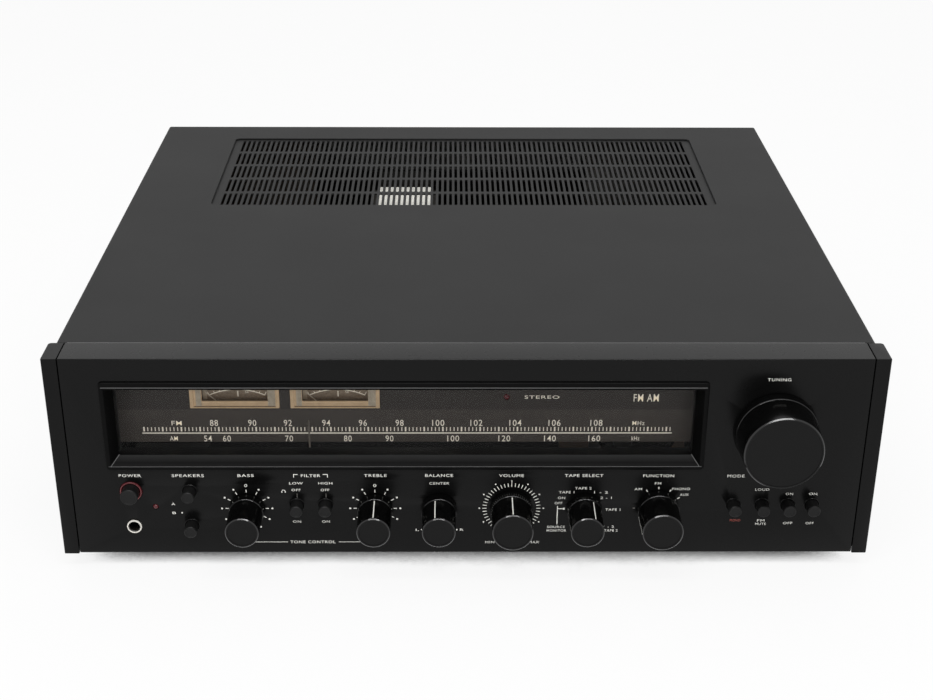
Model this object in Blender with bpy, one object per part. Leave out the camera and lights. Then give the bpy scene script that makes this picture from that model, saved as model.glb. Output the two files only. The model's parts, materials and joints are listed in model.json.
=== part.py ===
"""A stereo receiver with a flywheel-tuned dial, in metres, +Z up, with its front towards -Y.

The origin is the middle of the receiver's footprint, on the surface that its feet stand on.
Depths (names that end in _depth) count back from the front face, and heights on the panel
count up from the panel's lower edge.
"""

import math

import bmesh
import bpy
from mathutils import Matrix, Vector

# Whole receiver
overall_width = 0.4950
panel_height = 0.1330
body_depth = 0.4360
cover_inset = 0.0040
foot_height = 0.0120
knob_reach = 0.0285
small_knob_reach = 0.0282

# Sheet metal, clearances and overruns
sheet = 0.0012
seat_gap = 0.0003
running_gap = 0.0004
cut_overrun = 0.0020
joint_overlap = 0.0004
edge_break = 0.0005
fold_radius = 0.0020

# Front panel and its end caps
trim_depth = 0.0220
panel_thickness = 0.0030
panel_flange = 0.0020
end_cap_width = 0.0091
end_cap_seam = 0.0007
end_cap_drop = 0.0006
end_cap_corner = 0.0020
end_cap_tongue = 0.0060
tongue_thickness = 0.0020

# Perforated grille in the top cover
cover_lift = 0.0030
vent_width = 0.3680
vent_length = 0.1518
vent_back_margin = 0.0307
vent_corner = 0.0040
vent_recess = 0.0015
vent_lap = 0.0050
slot_columns = 24
slot_rows = 5
slot_length = 0.0250
slot_width = 0.0076
slot_row_pitch = 0.0305
slot_side_margin = 0.0060
slot_back_margin = 0.0031

# Dial window
window_left_share = -0.8606
window_right_share = 0.5644
window_low_share = 0.4632
window_high_share = 0.8541
window_splay = 0.0040
window_splay_depth = 0.0067
window_box_depth = 0.0170
window_wall = 0.0012
window_corner = 0.0004
window_land = 0.0035
window_rebate = 0.0008
rim_thickness = 0.0010
rim_side = 0.0026
rim_top = 0.0046
rim_bottom = 0.0024
rim_corner = 0.0022
rim_chamfer = 0.0004
lens_thickness = 0.0020

# Dial plate, pointer and pointer rail
dial_depth = 0.0215
dial_thickness = 0.0015
dial_overlap = 0.0022
dial_tab = 0.0012
pointer_travel = 0.2560
pointer_rest_share = 0.2715
scale_start_share = -0.6667
pointer_width = 0.0010
pointer_thickness = 0.0007
pointer_setback = 0.0010
pointer_top_share = 0.6240
saddle_width = 0.0100
saddle_wall = 0.0016
saddle_height = 0.0060
rail_height = 0.0060
rail_drop = 0.0060
rail_setback = 0.0004

# Meters and lamps
meter_gap = 0.0067
meter_height = 0.0210
meter_proud = 0.0007
meter_centre_shares = (-0.5653, -0.3208)
meter_low_share = 0.6744
meter_rim_side = 0.0022
meter_rim_low = 0.0007
meter_step = 0.0006
meter_window_side = 0.0070
meter_window_low = 0.0032
meter_window_high = 0.0020
meter_flange = 0.0015
meter_wall = 0.0008
meter_chamber_depth = 0.0020
meter_case_depth = 0.0080
meter_coil_radius = 0.0100
meter_coil_length = 0.0090
needle_pivot_drop = 0.0083
needle_swing_turns = 0.2556
needle_top_gap = 0.0020
needle_tail = 0.0022
needle_width = 0.0008
needle_tip_width = 0.0004
needle_thickness = 0.0004
needle_hub_radius = 0.0012
needle_hub_length = 0.0014
stereo_lamp_place_shares = (0.0974, 0.7293)
stereo_lamp_radius = 0.0018
stereo_lamp_length = 0.0070
power_lamp_place_shares = (-0.7624, 0.2489)
power_lamp_radius = 0.0016
power_lamp_length = 0.0070
lamp_proud = 0.0006
lamp_tip_share = 0.6
lamp_shoulder_share = 0.5

# Rotary controls, as shares of half the width and of the panel's height
knob_row_share = 0.2398
bass_x_share = -0.5386
treble_x_share = -0.2242
balance_x_share = -0.0675
volume_x_share = 0.1103
tape_x_share = 0.2897
function_x_share = 0.4703
small_knob_radius = 0.0100
large_knob_radius = 0.0122
knob_taper = 0.0002
knob_skirt = 0.0060
knob_step = 0.0003
knob_chamfer = 0.0007
knob_lip = 0.0009
knob_dish = 0.0003
knob_lift = 0.0008
shaft_radius = 0.0030

# Tuning knob, shaft and flywheel
tuning_place_shares = (0.7414, 0.6444)
tuning_knob_radius = 0.0235
tuning_taper = 0.0016
tuning_bore_depth = 0.0190
cord_barrel_radius = 0.0050
cord_barrel_width = 0.0055
cord_barrel_lip = 0.0008
flywheel_radius = 0.0220
flywheel_width = 0.0080
flywheel_web_radius = 0.0150
flywheel_web_width = 0.0040
flywheel_gap = 0.0035
shaft_tail = 0.0040

# Push buttons, as shares of half the width and of the panel's height
button_place_shares = {
    "speaker_a_button": (-0.6768, 0.3293), "speaker_b_button": (-0.6768, 0.1474),
    "low_filter_button": (-0.4162, 0.2556), "high_filter_button": (-0.3459, 0.2556),
    "mode_button_1": (0.6566, 0.2556), "mode_button_2": (0.7265, 0.2556),
    "mode_button_3": (0.7903, 0.2556), "mode_button_4": (0.8497, 0.2556)}
power_button_place_shares = (-0.8194, 0.3293)
jack_place_shares = (-0.8188, 0.1459)
button_radius = 0.0039
button_reach = 0.0082
power_button_radius = 0.0053
power_button_reach = 0.0075
button_travel = 0.0040
button_chamfer = 0.0005
button_cap_depth = 0.0080
stem_side = 0.0030
stem_grip = 0.0090
power_ring_radius = 0.0067
power_ring_length = 0.0046
ring_proud = 0.0006

# Headphone socket
jack_bore_radius = 0.0032
jack_collar_radius = 0.0046
jack_barrel_radius = 0.0042
jack_collar_proud = 0.0012
jack_body_radius = 0.0060
jack_body_depth = 0.0400
jack_bore_depth = 0.0340

# Inner frame
subframe_depth = 0.0260
subframe_flange = 0.0120
subframe_window_margin = 0.0040
subframe_window_top = 0.0050
subframe_window_drop = 0.0150
chassis_wall = 0.0300
rear_inset = 0.0100
rear_flange = 0.0120
floor_slot_count = 10
floor_slot_width = 0.0050
floor_slot_length = 0.0240

# Boards, pots and switches behind the subframe
board_thickness = 0.0016
pot_radius = 0.0085
pot_length = 0.0110
rotary_switch_radius = 0.0130
shaft_grip = 0.0085
board_margin = 0.0060
switch_body_depth = 0.0240
switch_margin = 0.0030
switch_rim = 0.0050
board_foot = 0.0040

# Amplifier board with its filter capacitors
standoff_height = 0.0080
standoff_radius = 0.0035
amplifier_x_shares = (-0.9091, 0.4848)
amplifier_length = 0.1130
amplifier_gap = 0.0110
capacitor_radius = 0.0175
capacitor_height = 0.0720
capacitor_x_shares = (0.1859, 0.3717)
capacitor_edge = 0.0150
small_can_radius = 0.0050
small_can_height = 0.0180
small_can_columns = 6
small_can_x_shares = (-0.8500, 0.0200)
small_can_edge = 0.0300
can_bead_share = 0.25

# Tuner board with its screened coils
tuner_x_shares = (0.2600, 0.8900)
tuner_depth = 0.0570
tuner_length = 0.1040
coil_can_side = 0.0100
coil_can_height = 0.0130
coil_can_columns = 4
coil_can_x_shares = (0.6200, 0.8300)
coil_can_edge = 0.0220

# Tuning capacitor, its rotor and the drum that drives it
drum_x_share = 0.4242
drum_z_share = 0.5714
drum_sweep_turns = 1.5
rotor_sweep_turns = 0.5
drum_setback = 0.0013
drum_lip = 0.0010
drum_lip_width = 0.0008
drum_groove_width = 0.0028
drum_hub_radius = 0.0070
drum_web = 0.0024
drum_hole_radius = 0.0060
drum_hole_share = 0.6200
drum_holes = 3
gang_width = 0.0460
gang_length = 0.0520
gang_setback = 0.0080
gang_wall = 0.0015
gang_top_gap = 0.0030
gang_shelf = 0.0040
rotor_radius = 0.0170
rotor_shaft_radius = 0.0025
rotor_plates = 6
plate_steps = 8
plate_thickness = 0.0008
plate_pitch = 0.0062
stator_side_gap = 0.0030
stator_shaft_gap = 0.0010

# Power transformer and heatsink
transformer_x_share = -0.1859
transformer_gap = 0.0033
core_width = 0.0800
core_depth = 0.0420
core_height = 0.0660
core_lift = 0.0080
coil_width = 0.0500
coil_depth = 0.0720
coil_height = 0.0940
coil_round = 0.0080
bracket_thickness = 0.0020
bracket_length = 0.0960
bracket_width = 0.0280
heatsink_x_shares = (-0.4768, 0.3960)
heatsink_clearance = 0.0168
heatsink_base_width = 0.0050
heatsink_height = 0.1000
heatsink_lift = 0.0140
fin_length = 0.0280
fin_thickness = 0.0020
fin_count = 16
heatsink_foot = 0.0100

# Rear connections, as shares of half the width and of the panel's height
speaker_block_x_shares = (-0.5800, -0.1800)
speaker_block_z_shares = (0.1800, 0.3800)
speaker_screws = 8
screw_head_radius = 0.0038
screw_head_height = 0.0030
terminal_thickness = 0.0080
phono_plate_x_shares = (0.0400, 0.4600)
phono_plate_z_shares = (0.1400, 0.4200)
phono_columns = 5
phono_rows = 2
phono_plate_thickness = 0.0020
phono_shell_radius = 0.0042
phono_shell_length = 0.0100
phono_hole_radius = 0.0018
phono_hole_depth = 0.0080
antenna_block_x_shares = (0.5600, 0.8600)
antenna_block_z_shares = (0.4800, 0.6200)
antenna_screws = 5
gland_place_shares = (-0.8600, 0.1900)
gland_radius = 0.0065
gland_flange_radius = 0.0090
gland_flange = 0.0020
gland_length = 0.0180
gland_tip_radius = 0.0050
gland_bore_radius = 0.0032
gland_neck_radius = 0.0055
gland_neck_length = 0.0060
fuse_place_shares = (-0.7300, 0.1900)
fuse_radius = 0.0070
fuse_length = 0.0120
fuse_cap_radius = 0.0055

# Ferrite rod aerial on its hinge
aerial_x_share = 0.8300
aerial_z_share = 0.8000
aerial_setback = 0.0080
rod_radius = 0.0050
rod_length = 0.1400
rod_end_gap = 0.0060
barrel_radius = 0.0045
barrel_height = 0.0110
pin_radius = 0.0015
pin_length = 0.0022
ear_width = 0.0110
ear_thickness = 0.0020
clamp_height = 0.0084
clamp_length = 0.0220
clamp_depth = 0.0060

# Feet
foot_top_radius = 0.0160
foot_tip_radius = 0.0140
foot_pad_radius = 0.0115
foot_pad_height = 0.0025
foot_x_share = 0.8000
foot_front_depth = 0.0600
foot_back_depth = 0.3900

# Sides of round pieces
big_sides = 28
knob_sides = 18
button_sides = 14
hole_sides = 16
small_sides = 10
fold_steps = 4
cap_corner_steps = 3

# What follows from the sizes above
half_width = overall_width / 2
cover_half = half_width - cover_inset
rear_reach = gland_length - rear_inset
meter_width = (meter_centre_shares[1] - meter_centre_shares[0]) * half_width - meter_gap
meter_case_front = dial_depth + dial_thickness + seat_gap
meter_card = meter_case_front + meter_wall + meter_chamber_depth
front_y = (knob_reach - rear_reach - body_depth) / 2
panel_base = foot_height
cover_top = panel_base + panel_height
cover_inner = cover_half - sheet
subframe_back = subframe_depth + sheet
rear_face = body_depth - rear_inset
drum_radius = pointer_travel / (2 * math.pi * drum_sweep_turns)
drum_front = subframe_back + drum_setback
heatsink_front = rear_face - sheet - heatsink_clearance - fin_length - heatsink_base_width
transformer_middle = heatsink_front - transformer_gap - coil_depth / 2
amplifier_back = transformer_middle - coil_depth / 2 - amplifier_gap
amplifier_front = amplifier_back - amplifier_length
chassis_floor = panel_base + sheet
control_floor = chassis_floor + sheet + 2 * seat_gap

materials = {
    "cover_paint": ((0.075, 0.075, 0.075), 0.55, 0.0),
    "panel_finish": ((0.016, 0.016, 0.016), 0.38, 0.0),
    "gloss_black": ((0.010, 0.010, 0.010), 0.15, 0.0),
    "cap_plastic": ((0.018, 0.018, 0.018), 0.45, 0.0),
    "knob_black": ((0.012, 0.012, 0.012), 0.25, 0.0),
    "lens_clear": ((0.800, 0.820, 0.820), 0.05, 0.0),
    "dial_brown": ((0.045, 0.038, 0.034), 0.60, 0.0),
    "meter_cream": ((0.420, 0.330, 0.230), 0.50, 0.0),
    "needle_red": ((0.700, 0.120, 0.060), 0.40, 0.0),
    "lamp_red": ((0.550, 0.030, 0.030), 0.20, 0.0),
    "steel": ((0.500, 0.500, 0.480), 0.40, 1.0),
    "aluminium": ((0.650, 0.650, 0.660), 0.35, 1.0),
    "board": ((0.260, 0.170, 0.060), 0.60, 0.0),
    "core_steel": ((0.120, 0.120, 0.130), 0.50, 0.8),
    "nickel": ((0.700, 0.690, 0.650), 0.20, 1.0),
    "black_plastic": ((0.020, 0.020, 0.020), 0.50, 0.0),
    "rubber": ((0.015, 0.015, 0.015), 0.80, 0.0),
    "ferrite": ((0.050, 0.045, 0.045), 0.70, 0.0),
}


def clear_scene():
    for obj in list(bpy.data.objects):
        bpy.data.objects.remove(obj, do_unlink=True)


def material(slot):
    """The Principled material of one finish, made the first time it is asked for."""
    made = bpy.data.materials.get(slot)
    if made:
        return made
    colour, roughness, metallic = materials[slot]
    made = bpy.data.materials.new(slot)
    made.use_nodes = True
    shader = made.node_tree.nodes["Principled BSDF"]
    shader.inputs["Base Color"].default_value = (*colour, 1)
    shader.inputs["Roughness"].default_value = roughness
    shader.inputs["Metallic"].default_value = metallic
    return made


def depth(distance):
    """The Y of a point this far behind the front face."""
    return front_y + distance


def across(share):
    """The X of a place given as a share of half the receiver's width."""
    return share * half_width


def panel_z(share):
    """The Z of a place given as a share of the panel's height."""
    return panel_base + share * panel_height


def panel_place(shares):
    return across(shares[0]), panel_z(shares[1])


def add_object(name, bm, slot, pivot=(0, 0, 0)):
    """An object from a bmesh in world coordinates, with its origin at pivot."""
    bmesh.ops.recalc_face_normals(bm, faces=bm.faces)
    bmesh.ops.translate(bm, verts=bm.verts, vec=-Vector(pivot))
    mesh = bpy.data.meshes.new(name)
    bm.to_mesh(mesh)
    bm.free()
    mesh.materials.append(material(slot))
    mesh.shade_smooth()
    mesh.set_sharp_from_angle(angle=math.radians(35))
    obj = bpy.data.objects.new(name, mesh)
    obj.location = pivot
    bpy.context.scene.collection.objects.link(obj)
    return obj


def add_box(bm, low, high):
    """A closed box between two corners."""
    made = bmesh.ops.create_cube(bm, size=1)
    size = Vector(high) - Vector(low)
    middle = (Vector(high) + Vector(low)) / 2
    place = Matrix.Translation(middle) @ Matrix.Diagonal((*size, 1))
    bmesh.ops.transform(bm, matrix=place, verts=made["verts"])


def add_rings(bm, rings, wrap=False):
    """Skins a row of point loops, and closes it with end faces or back onto its first loop."""
    loops = [[bm.verts.new(point) for point in ring] for ring in rings]
    pairs = list(zip(loops, loops[1:]))
    if wrap:
        pairs.append((loops[-1], loops[0]))
    for near, far in pairs:
        for i, vertex in enumerate(near):
            j = (i + 1) % len(near)
            bm.faces.new((vertex, near[j], far[j], far[i]))
    if not wrap:
        bm.faces.new(loops[0][::-1])
        bm.faces.new(loops[-1])


def circle(radius, sides):
    turn = 2 * math.pi / sides
    return [(radius * math.cos(turn * i), radius * math.sin(turn * i)) for i in range(sides)]


def add_turned(bm, x, z, profile, sides):
    """A turned solid on an axis along Y. The profile lists (radius, depth)."""
    rings = [[(x + a, depth(d), z + b) for a, b in circle(radius, sides)] for radius, d in profile]
    add_rings(bm, rings)


def add_sleeve(bm, x, z, profile, sides):
    """A turned tube on an axis along Y, from a closed profile of (radius, depth)."""
    rings = [[(x + a, depth(d), z + b) for a, b in circle(radius, sides)] for radius, d in profile]
    add_rings(bm, rings, wrap=True)


def add_upright(bm, x, y, profile, sides):
    """A turned solid on an upright axis. The profile lists (radius, z)."""
    rings = [[(x + a, y + b, z) for a, b in circle(radius, sides)] for radius, z in profile]
    add_rings(bm, rings)


def add_prism(bm, outline, axis, start, end):
    """An outline extruded along one axis. Its points are in the other two, in X, Y, Z order."""
    def point(pair, level):
        at = list(pair)
        at.insert("XYZ".index(axis), level)
        return at
    add_rings(bm, [[point(p, start) for p in outline], [point(p, end) for p in outline]])


def quarter_turn(steps):
    """The (cosine, sine) pairs of a quarter turn, from the first axis to the second."""
    return [(math.cos(math.pi / 2 * i / steps), math.sin(math.pi / 2 * i / steps)) for i in range(steps + 1)]


def rounded(low, high, radius, steps):
    """A rectangle between two corners with its corners rounded."""
    points = []
    centres = ((high[0] - radius, high[1] - radius, 0), (low[0] + radius, high[1] - radius, 1),
               (low[0] + radius, low[1] + radius, 2), (high[0] - radius, low[1] + radius, 3))
    for x, z, quarter in centres:
        for i in range(steps + 1):
            angle = (quarter + i / steps) * math.pi / 2
            points.append((x + radius * math.cos(angle), z + radius * math.sin(angle)))
    return points


def helper(name, bm):
    """A closed mesh that only a Boolean reads."""
    obj = add_object(name, bm, "steel")
    obj.hide_render = True
    obj.display_type = "WIRE"
    return obj


def combine(obj, other, operation):
    change = obj.modifiers.new(other.name, "BOOLEAN")
    change.operation = operation
    change.solver = "EXACT"
    change.object = other


def cut(obj, bm):
    combine(obj, helper(f"{obj.name}_cutter_{len(obj.modifiers)}", bm), "DIFFERENCE")


def fuse(obj, bm):
    combine(obj, helper(f"{obj.name}_joined_{len(obj.modifiers)}", bm), "UNION")


def control_places():
    """Every rotary control's X, as a share, with its face radius."""
    return {
        "bass_knob": (bass_x_share, small_knob_radius),
        "treble_knob": (treble_x_share, small_knob_radius),
        "balance_knob": (balance_x_share, small_knob_radius),
        "volume_knob": (volume_x_share, large_knob_radius),
        "tape_knob": (tape_x_share, small_knob_radius),
        "function_knob": (function_x_share, large_knob_radius),
    }


def make_top_cover():
    """The steel cover folded into an inverted U, with an opening over the warm parts."""
    low = panel_base + cover_lift
    corner = quarter_turn(fold_steps)

    def path(half, top, radius):
        right = [(half - radius + radius * c, top - radius + radius * s) for c, s in corner]
        left = [(-x, z) for x, z in reversed(right)]
        return [(half, low)] + right + left + [(-half, low)]

    outer = path(cover_half, cover_top, fold_radius)
    inner = path(cover_inner, cover_top - sheet, fold_radius - sheet)
    bm = bmesh.new()
    start = depth(trim_depth + seat_gap)
    add_prism(bm, outer + inner[::-1], "Y", start, depth(body_depth))
    cover = add_object("top_cover", bm, "cover_paint")
    opening = bmesh.new()
    back = depth(body_depth - vent_back_margin)
    outline = rounded((-vent_width / 2, back - vent_length), (vent_width / 2, back), vent_corner, 4)
    add_prism(opening, outline, "Z", cover_top - sheet - cut_overrun, cover_top + cut_overrun)
    cut(cover, opening)


def make_vent_grille():
    """The slotted plate that closes the cover's opening from below."""
    back = depth(body_depth - vent_back_margin)
    top = cover_top - max(vent_recess, sheet + seat_gap)
    lap = vent_lap
    bm = bmesh.new()
    outline = rounded((-vent_width / 2 - lap, back - vent_length - lap),
                      (vent_width / 2 + lap, back + lap), vent_corner + lap, 3)
    add_prism(bm, outline, "Z", top - sheet, top)
    grille = add_object("vent_grille", bm, "cover_paint")
    slots = bmesh.new()
    first = -vent_width / 2 + slot_side_margin
    pitch = (vent_width - 2 * slot_side_margin - slot_width) / (slot_columns - 1)
    for row in range(slot_rows):
        far = back - slot_back_margin - row * slot_row_pitch
        for column in range(slot_columns):
            left = first + column * pitch
            add_box(slots, (left, far - slot_length, top - sheet - cut_overrun),
                    (left + slot_width, far, top + cut_overrun))
    cut(grille, slots)


def window_rect(grow=0.0):
    """The window at the front of its splayed walls, as (low, high), grown on every side."""
    low = (across(window_left_share) - grow, panel_z(window_low_share) - grow)
    high = (across(window_right_share) + grow, panel_z(window_high_share) + grow)
    return low, high


def box_grow():
    """How far the bezel's box stands outside the window's front edge, at its back."""
    return window_rebate + window_wall - window_splay


def make_faceplate():
    """The front panel, a channel whose top and bottom turn back, with its openings."""
    top = panel_base + panel_height
    half = half_width - end_cap_width - end_cap_seam
    section = [(depth(0), panel_base + edge_break), (depth(edge_break), panel_base),
               (depth(trim_depth), panel_base), (depth(trim_depth), panel_base + panel_flange),
               (depth(panel_thickness), panel_base + panel_flange),
               (depth(panel_thickness), top - panel_flange),
               (depth(trim_depth), top - panel_flange), (depth(trim_depth), top),
               (depth(edge_break), top), (depth(0), top - edge_break)]
    bm = bmesh.new()
    add_prism(bm, section, "X", -half, half)
    plate = add_object("faceplate", bm, "panel_finish")
    holes = bmesh.new()
    through = (-cut_overrun, panel_thickness + cut_overrun)
    (x0, z0), (x1, z1) = window_rect(window_wall + seat_gap)
    add_box(holes, (x0, depth(through[0]), z0), (x1, depth(through[1]), z1))
    bore = shaft_radius + running_gap
    for share, _ in control_places().values():
        add_hole(holes, across(share), panel_z(knob_row_share), bore, through, small_sides)
    for shares in button_place_shares.values():
        add_hole(holes, *panel_place(shares), button_radius + running_gap, through, hole_sides)
    x, z = panel_place(tuning_place_shares)
    add_hole(holes, x, z, bore, through, small_sides)
    x, z = panel_place(power_button_place_shares)
    add_hole(holes, x, z, power_ring_radius + seat_gap, through, hole_sides)
    x, z = panel_place(jack_place_shares)
    add_hole(holes, x, z, jack_barrel_radius + seat_gap, through, hole_sides)
    x, z = panel_place(power_lamp_place_shares)
    add_hole(holes, x, z, power_lamp_radius + seat_gap, through, small_sides)
    cut(plate, holes)


def add_hole(bm, x, z, radius, through, sides):
    add_turned(bm, x, z, [(radius, through[0]), (radius, through[1])], sides)


def make_end_caps():
    """The moulded caps that close the panel's ends, each keyed behind the panel by a tongue."""
    for side, name in ((-1, "left_end_cap"), (1, "right_end_cap")):
        outer = half_width
        inner = outer - end_cap_width
        corner = end_cap_corner
        round_back = [(outer - corner + corner * c, depth(trim_depth) - corner + corner * s)
                      for c, s in quarter_turn(cap_corner_steps)]
        outline = [(inner, depth(0)), (outer - edge_break, depth(0)), (outer, depth(edge_break))]
        outline += round_back + [(inner, depth(trim_depth))]
        bm = bmesh.new()
        add_prism(bm, [(side * x, y) for x, y in outline], "Z", panel_base - end_cap_drop, cover_top)
        cap = add_object(name, bm, "cap_plastic")
        tongue = bmesh.new()
        tongue_start = depth(panel_thickness + seat_gap)
        ends = sorted((side * (inner + joint_overlap), side * (inner - end_cap_seam - end_cap_tongue)))
        add_box(tongue, (ends[0], tongue_start, panel_base + panel_flange + seat_gap),
                (ends[1], tongue_start + tongue_thickness, cover_top - panel_flange - seat_gap))
        fuse(cap, tongue)


def make_window_bezel():
    """The moulded window: a thin rim on the panel, splayed walls and a box behind them."""
    def loop(grow, distance, radius, sides=(0, 0, 0)):
        (x0, z0), (x1, z1) = window_rect(grow)
        side, top, bottom = sides
        outline = rounded((x0 - side, z0 - bottom), (x1 + side, z1 + top), radius, 3)
        return [(x, depth(distance), z) for x, z in outline]

    rim = (rim_side, rim_top, rim_bottom)
    front = -seat_gap - rim_thickness
    narrow = -window_splay
    corner = window_corner
    rings = [
        loop(-rim_chamfer, front, rim_corner - rim_chamfer, rim),
        loop(0, front + rim_chamfer, rim_corner, rim),
        loop(0, -seat_gap, rim_corner, rim),
        loop(window_wall, -seat_gap, corner),
        loop(window_wall, window_land, corner),
        loop(box_grow(), window_splay_depth, corner),
        loop(box_grow(), window_box_depth, corner),
        loop(narrow + window_rebate, window_box_depth, corner),
        loop(narrow + window_rebate, window_splay_depth, corner),
        loop(narrow, window_splay_depth, corner),
        loop(0, front, corner),
    ]
    bm = bmesh.new()
    add_rings(bm, rings, wrap=True)
    add_object("window_bezel", bm, "gloss_black")


def make_dial_lens():
    """The clear plate against the back of the splayed walls."""
    low, high = window_rect(window_rebate - window_splay - seat_gap)
    outline = rounded(low, high, window_corner, 2)
    bm = bmesh.new()
    start = depth(window_splay_depth + seat_gap)
    add_prism(bm, outline, "Y", start, start + lens_thickness)
    add_object("dial_lens", bm, "lens_clear")


def dial_rect():
    """The dial plate's corners: just past the bezel's box, with a gap below for the pointer."""
    low, high = window_rect(box_grow() + window_rebate)
    return (low[0], low[1] + dial_overlap + window_wall), high


def meter_boxes():
    """Each meter's (centre x, low z), with its name."""
    low = panel_z(meter_low_share)
    return [(name, across(share), low)
            for name, share in zip(("signal_meter", "tuning_meter"), meter_centre_shares)]


def make_dial_plate():
    """The printed plate behind the lens, with two ends turned back to the subframe."""
    (x0, z0), (x1, z1) = dial_rect()
    front, back = depth(dial_depth), depth(dial_depth + dial_thickness)
    feet = depth(subframe_depth - seat_gap)
    outline = [(x0, front), (x1, front), (x1, feet), (x1 - dial_tab, feet), (x1 - dial_tab, back),
               (x0 + dial_tab, back), (x0 + dial_tab, feet), (x0, feet)]
    bm = bmesh.new()
    add_prism(bm, outline, "Z", z0, z1)
    plate = add_object("dial_plate", bm, "dial_brown")
    holes = bmesh.new()
    for _, x, low in meter_boxes():
        half = meter_width / 2 + seat_gap
        add_box(holes, (x - half, front - cut_overrun, low - seat_gap),
                (x + half, back + cut_overrun, low + meter_height + seat_gap))
    x, z = panel_place(stereo_lamp_place_shares)
    add_hole(holes, x, z, stereo_lamp_radius + seat_gap,
             (dial_depth - cut_overrun, dial_depth + dial_thickness + cut_overrun), small_sides)
    cut(plate, holes)


def make_meters():
    """Two meters: a stepped frame in the dial plate, a case behind it and a needle in the case.

    The case is wider than the plate's opening, so that it seats against the plate's back. Its
    chamber holds the needle, and the coil that moves the needle sits behind in a round housing.
    """
    front = dial_depth - meter_proud
    case_back = meter_case_front + meter_case_depth
    for name, x, low in meter_boxes():
        half, high = meter_width / 2, low + meter_height
        pivot = low - needle_pivot_drop
        window_half, window_top = half - meter_window_side, high - meter_window_high
        needle_length = window_top - needle_top_gap - pivot
        reach = needle_length * math.sin(math.pi * needle_swing_turns) + needle_width
        room = max(window_half, reach) + running_gap
        floor = pivot - needle_tail - running_gap
        wide = max(half + meter_flange, room + meter_wall)
        bm = bmesh.new()
        add_box(bm, (x - wide, depth(meter_case_front), floor - meter_wall),
                (x + wide, depth(case_back), high + meter_flange))
        meter = add_object(name, bm, "meter_cream")
        face = bmesh.new()
        add_box(face, (x - half, depth(front), low), (x + half, depth(meter_case_front + joint_overlap), high))
        fuse(meter, face)
        coil = bmesh.new()
        add_turned(coil, x, pivot, [(meter_coil_radius, case_back - joint_overlap),
                                    (meter_coil_radius, case_back + meter_coil_length)], hole_sides)
        fuse(meter, coil)
        rim = half - meter_rim_side
        step = bmesh.new()
        add_box(step, (x - rim, depth(front - cut_overrun), low + meter_rim_low),
                (x + rim, depth(front + meter_step), high - meter_rim_low))
        cut(meter, step)
        window = bmesh.new()
        add_box(window, (x - window_half, depth(front - cut_overrun), low + meter_window_low),
                (x + window_half, depth(meter_card - joint_overlap), window_top))
        cut(meter, window)
        chamber = bmesh.new()
        add_box(chamber, (x - room, depth(meter_card - meter_chamber_depth), floor),
                (x + room, depth(meter_card), window_top + running_gap))
        cut(meter, chamber)
        make_needle(name.replace("meter", "needle"), x, pivot, needle_length)


def make_needle(name, x, z, length):
    """A tapered needle on its hub, resting at the left end of its scale."""
    back = meter_card - seat_gap
    middle = back - needle_hub_length / 2
    lean = -math.pi * needle_swing_turns
    bm = bmesh.new()
    hub = [(needle_hub_radius, back), (needle_hub_radius, back - needle_hub_length)]
    add_turned(bm, x, z, hub, small_sides)
    needle = add_object(name, bm, "needle_red", (x, depth(back), z))
    corners = [(-needle_width / 2, -needle_tail), (needle_width / 2, -needle_tail),
               (needle_tip_width / 2, length), (-needle_tip_width / 2, length)]
    outline = [(x + side * math.cos(lean) + along * math.sin(lean),
                z - side * math.sin(lean) + along * math.cos(lean)) for side, along in corners]
    blade = bmesh.new()
    add_prism(blade, outline, "Y", depth(middle - needle_thickness / 2), depth(middle + needle_thickness / 2))
    fuse(needle, blade)


def make_lamps():
    """The stereo lamp in the dial plate, the power lamp and the lit ring in the panel."""
    x, z = panel_place(stereo_lamp_place_shares)
    r = stereo_lamp_radius
    tip = dial_depth - lamp_proud
    profile = [(r, tip + stereo_lamp_length), (r, tip + lamp_shoulder_share * r), (lamp_tip_share * r, tip)]
    bm = bmesh.new()
    add_turned(bm, x, z, profile, small_sides)
    add_object("stereo_lamp", bm, "lamp_red")
    x, z = panel_place(power_lamp_place_shares)
    r = power_lamp_radius
    bm = bmesh.new()
    add_turned(bm, x, z, [(r, power_lamp_length), (r, 0), (lamp_tip_share * r, -lamp_proud)], small_sides)
    add_object("power_lamp", bm, "lamp_red")
    x, z = panel_place(power_button_place_shares)
    outer, inner = power_ring_radius, power_button_radius + running_gap
    half_chamfer = ring_proud / 2
    profile = [(outer, power_ring_length), (outer, -half_chamfer), (outer - half_chamfer, -ring_proud),
               (inner, -ring_proud), (inner, power_ring_length)]
    bm = bmesh.new()
    add_sleeve(bm, x, z, profile, hole_sides)
    add_object("power_ring", bm, "lamp_red")


def make_knobs():
    """The six rotary knobs, each moulded on its shaft: skirt, step, tapered side and dished face."""
    z = panel_z(knob_row_share)
    for name, (share, radius) in control_places().items():
        x = across(share)
        wide = radius + knob_taper
        face = -small_knob_reach
        profile = [
            (shaft_radius, subframe_back + seat_gap + shaft_grip),
            (shaft_radius, -knob_lift),
            (wide + knob_step, -knob_lift),
            (wide + knob_step, -knob_lift - knob_skirt),
            (wide, -knob_lift - knob_skirt - knob_step),
            (radius, face + knob_chamfer),
            (radius - knob_chamfer, face),
            (radius - knob_chamfer - knob_lip, face),
            (radius - knob_chamfer - knob_lip - knob_dish, face + knob_dish),
        ]
        bm = bmesh.new()
        add_turned(bm, x, z, profile, knob_sides)
        add_object(name, bm, "knob_black", (x, front_y, z))


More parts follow.
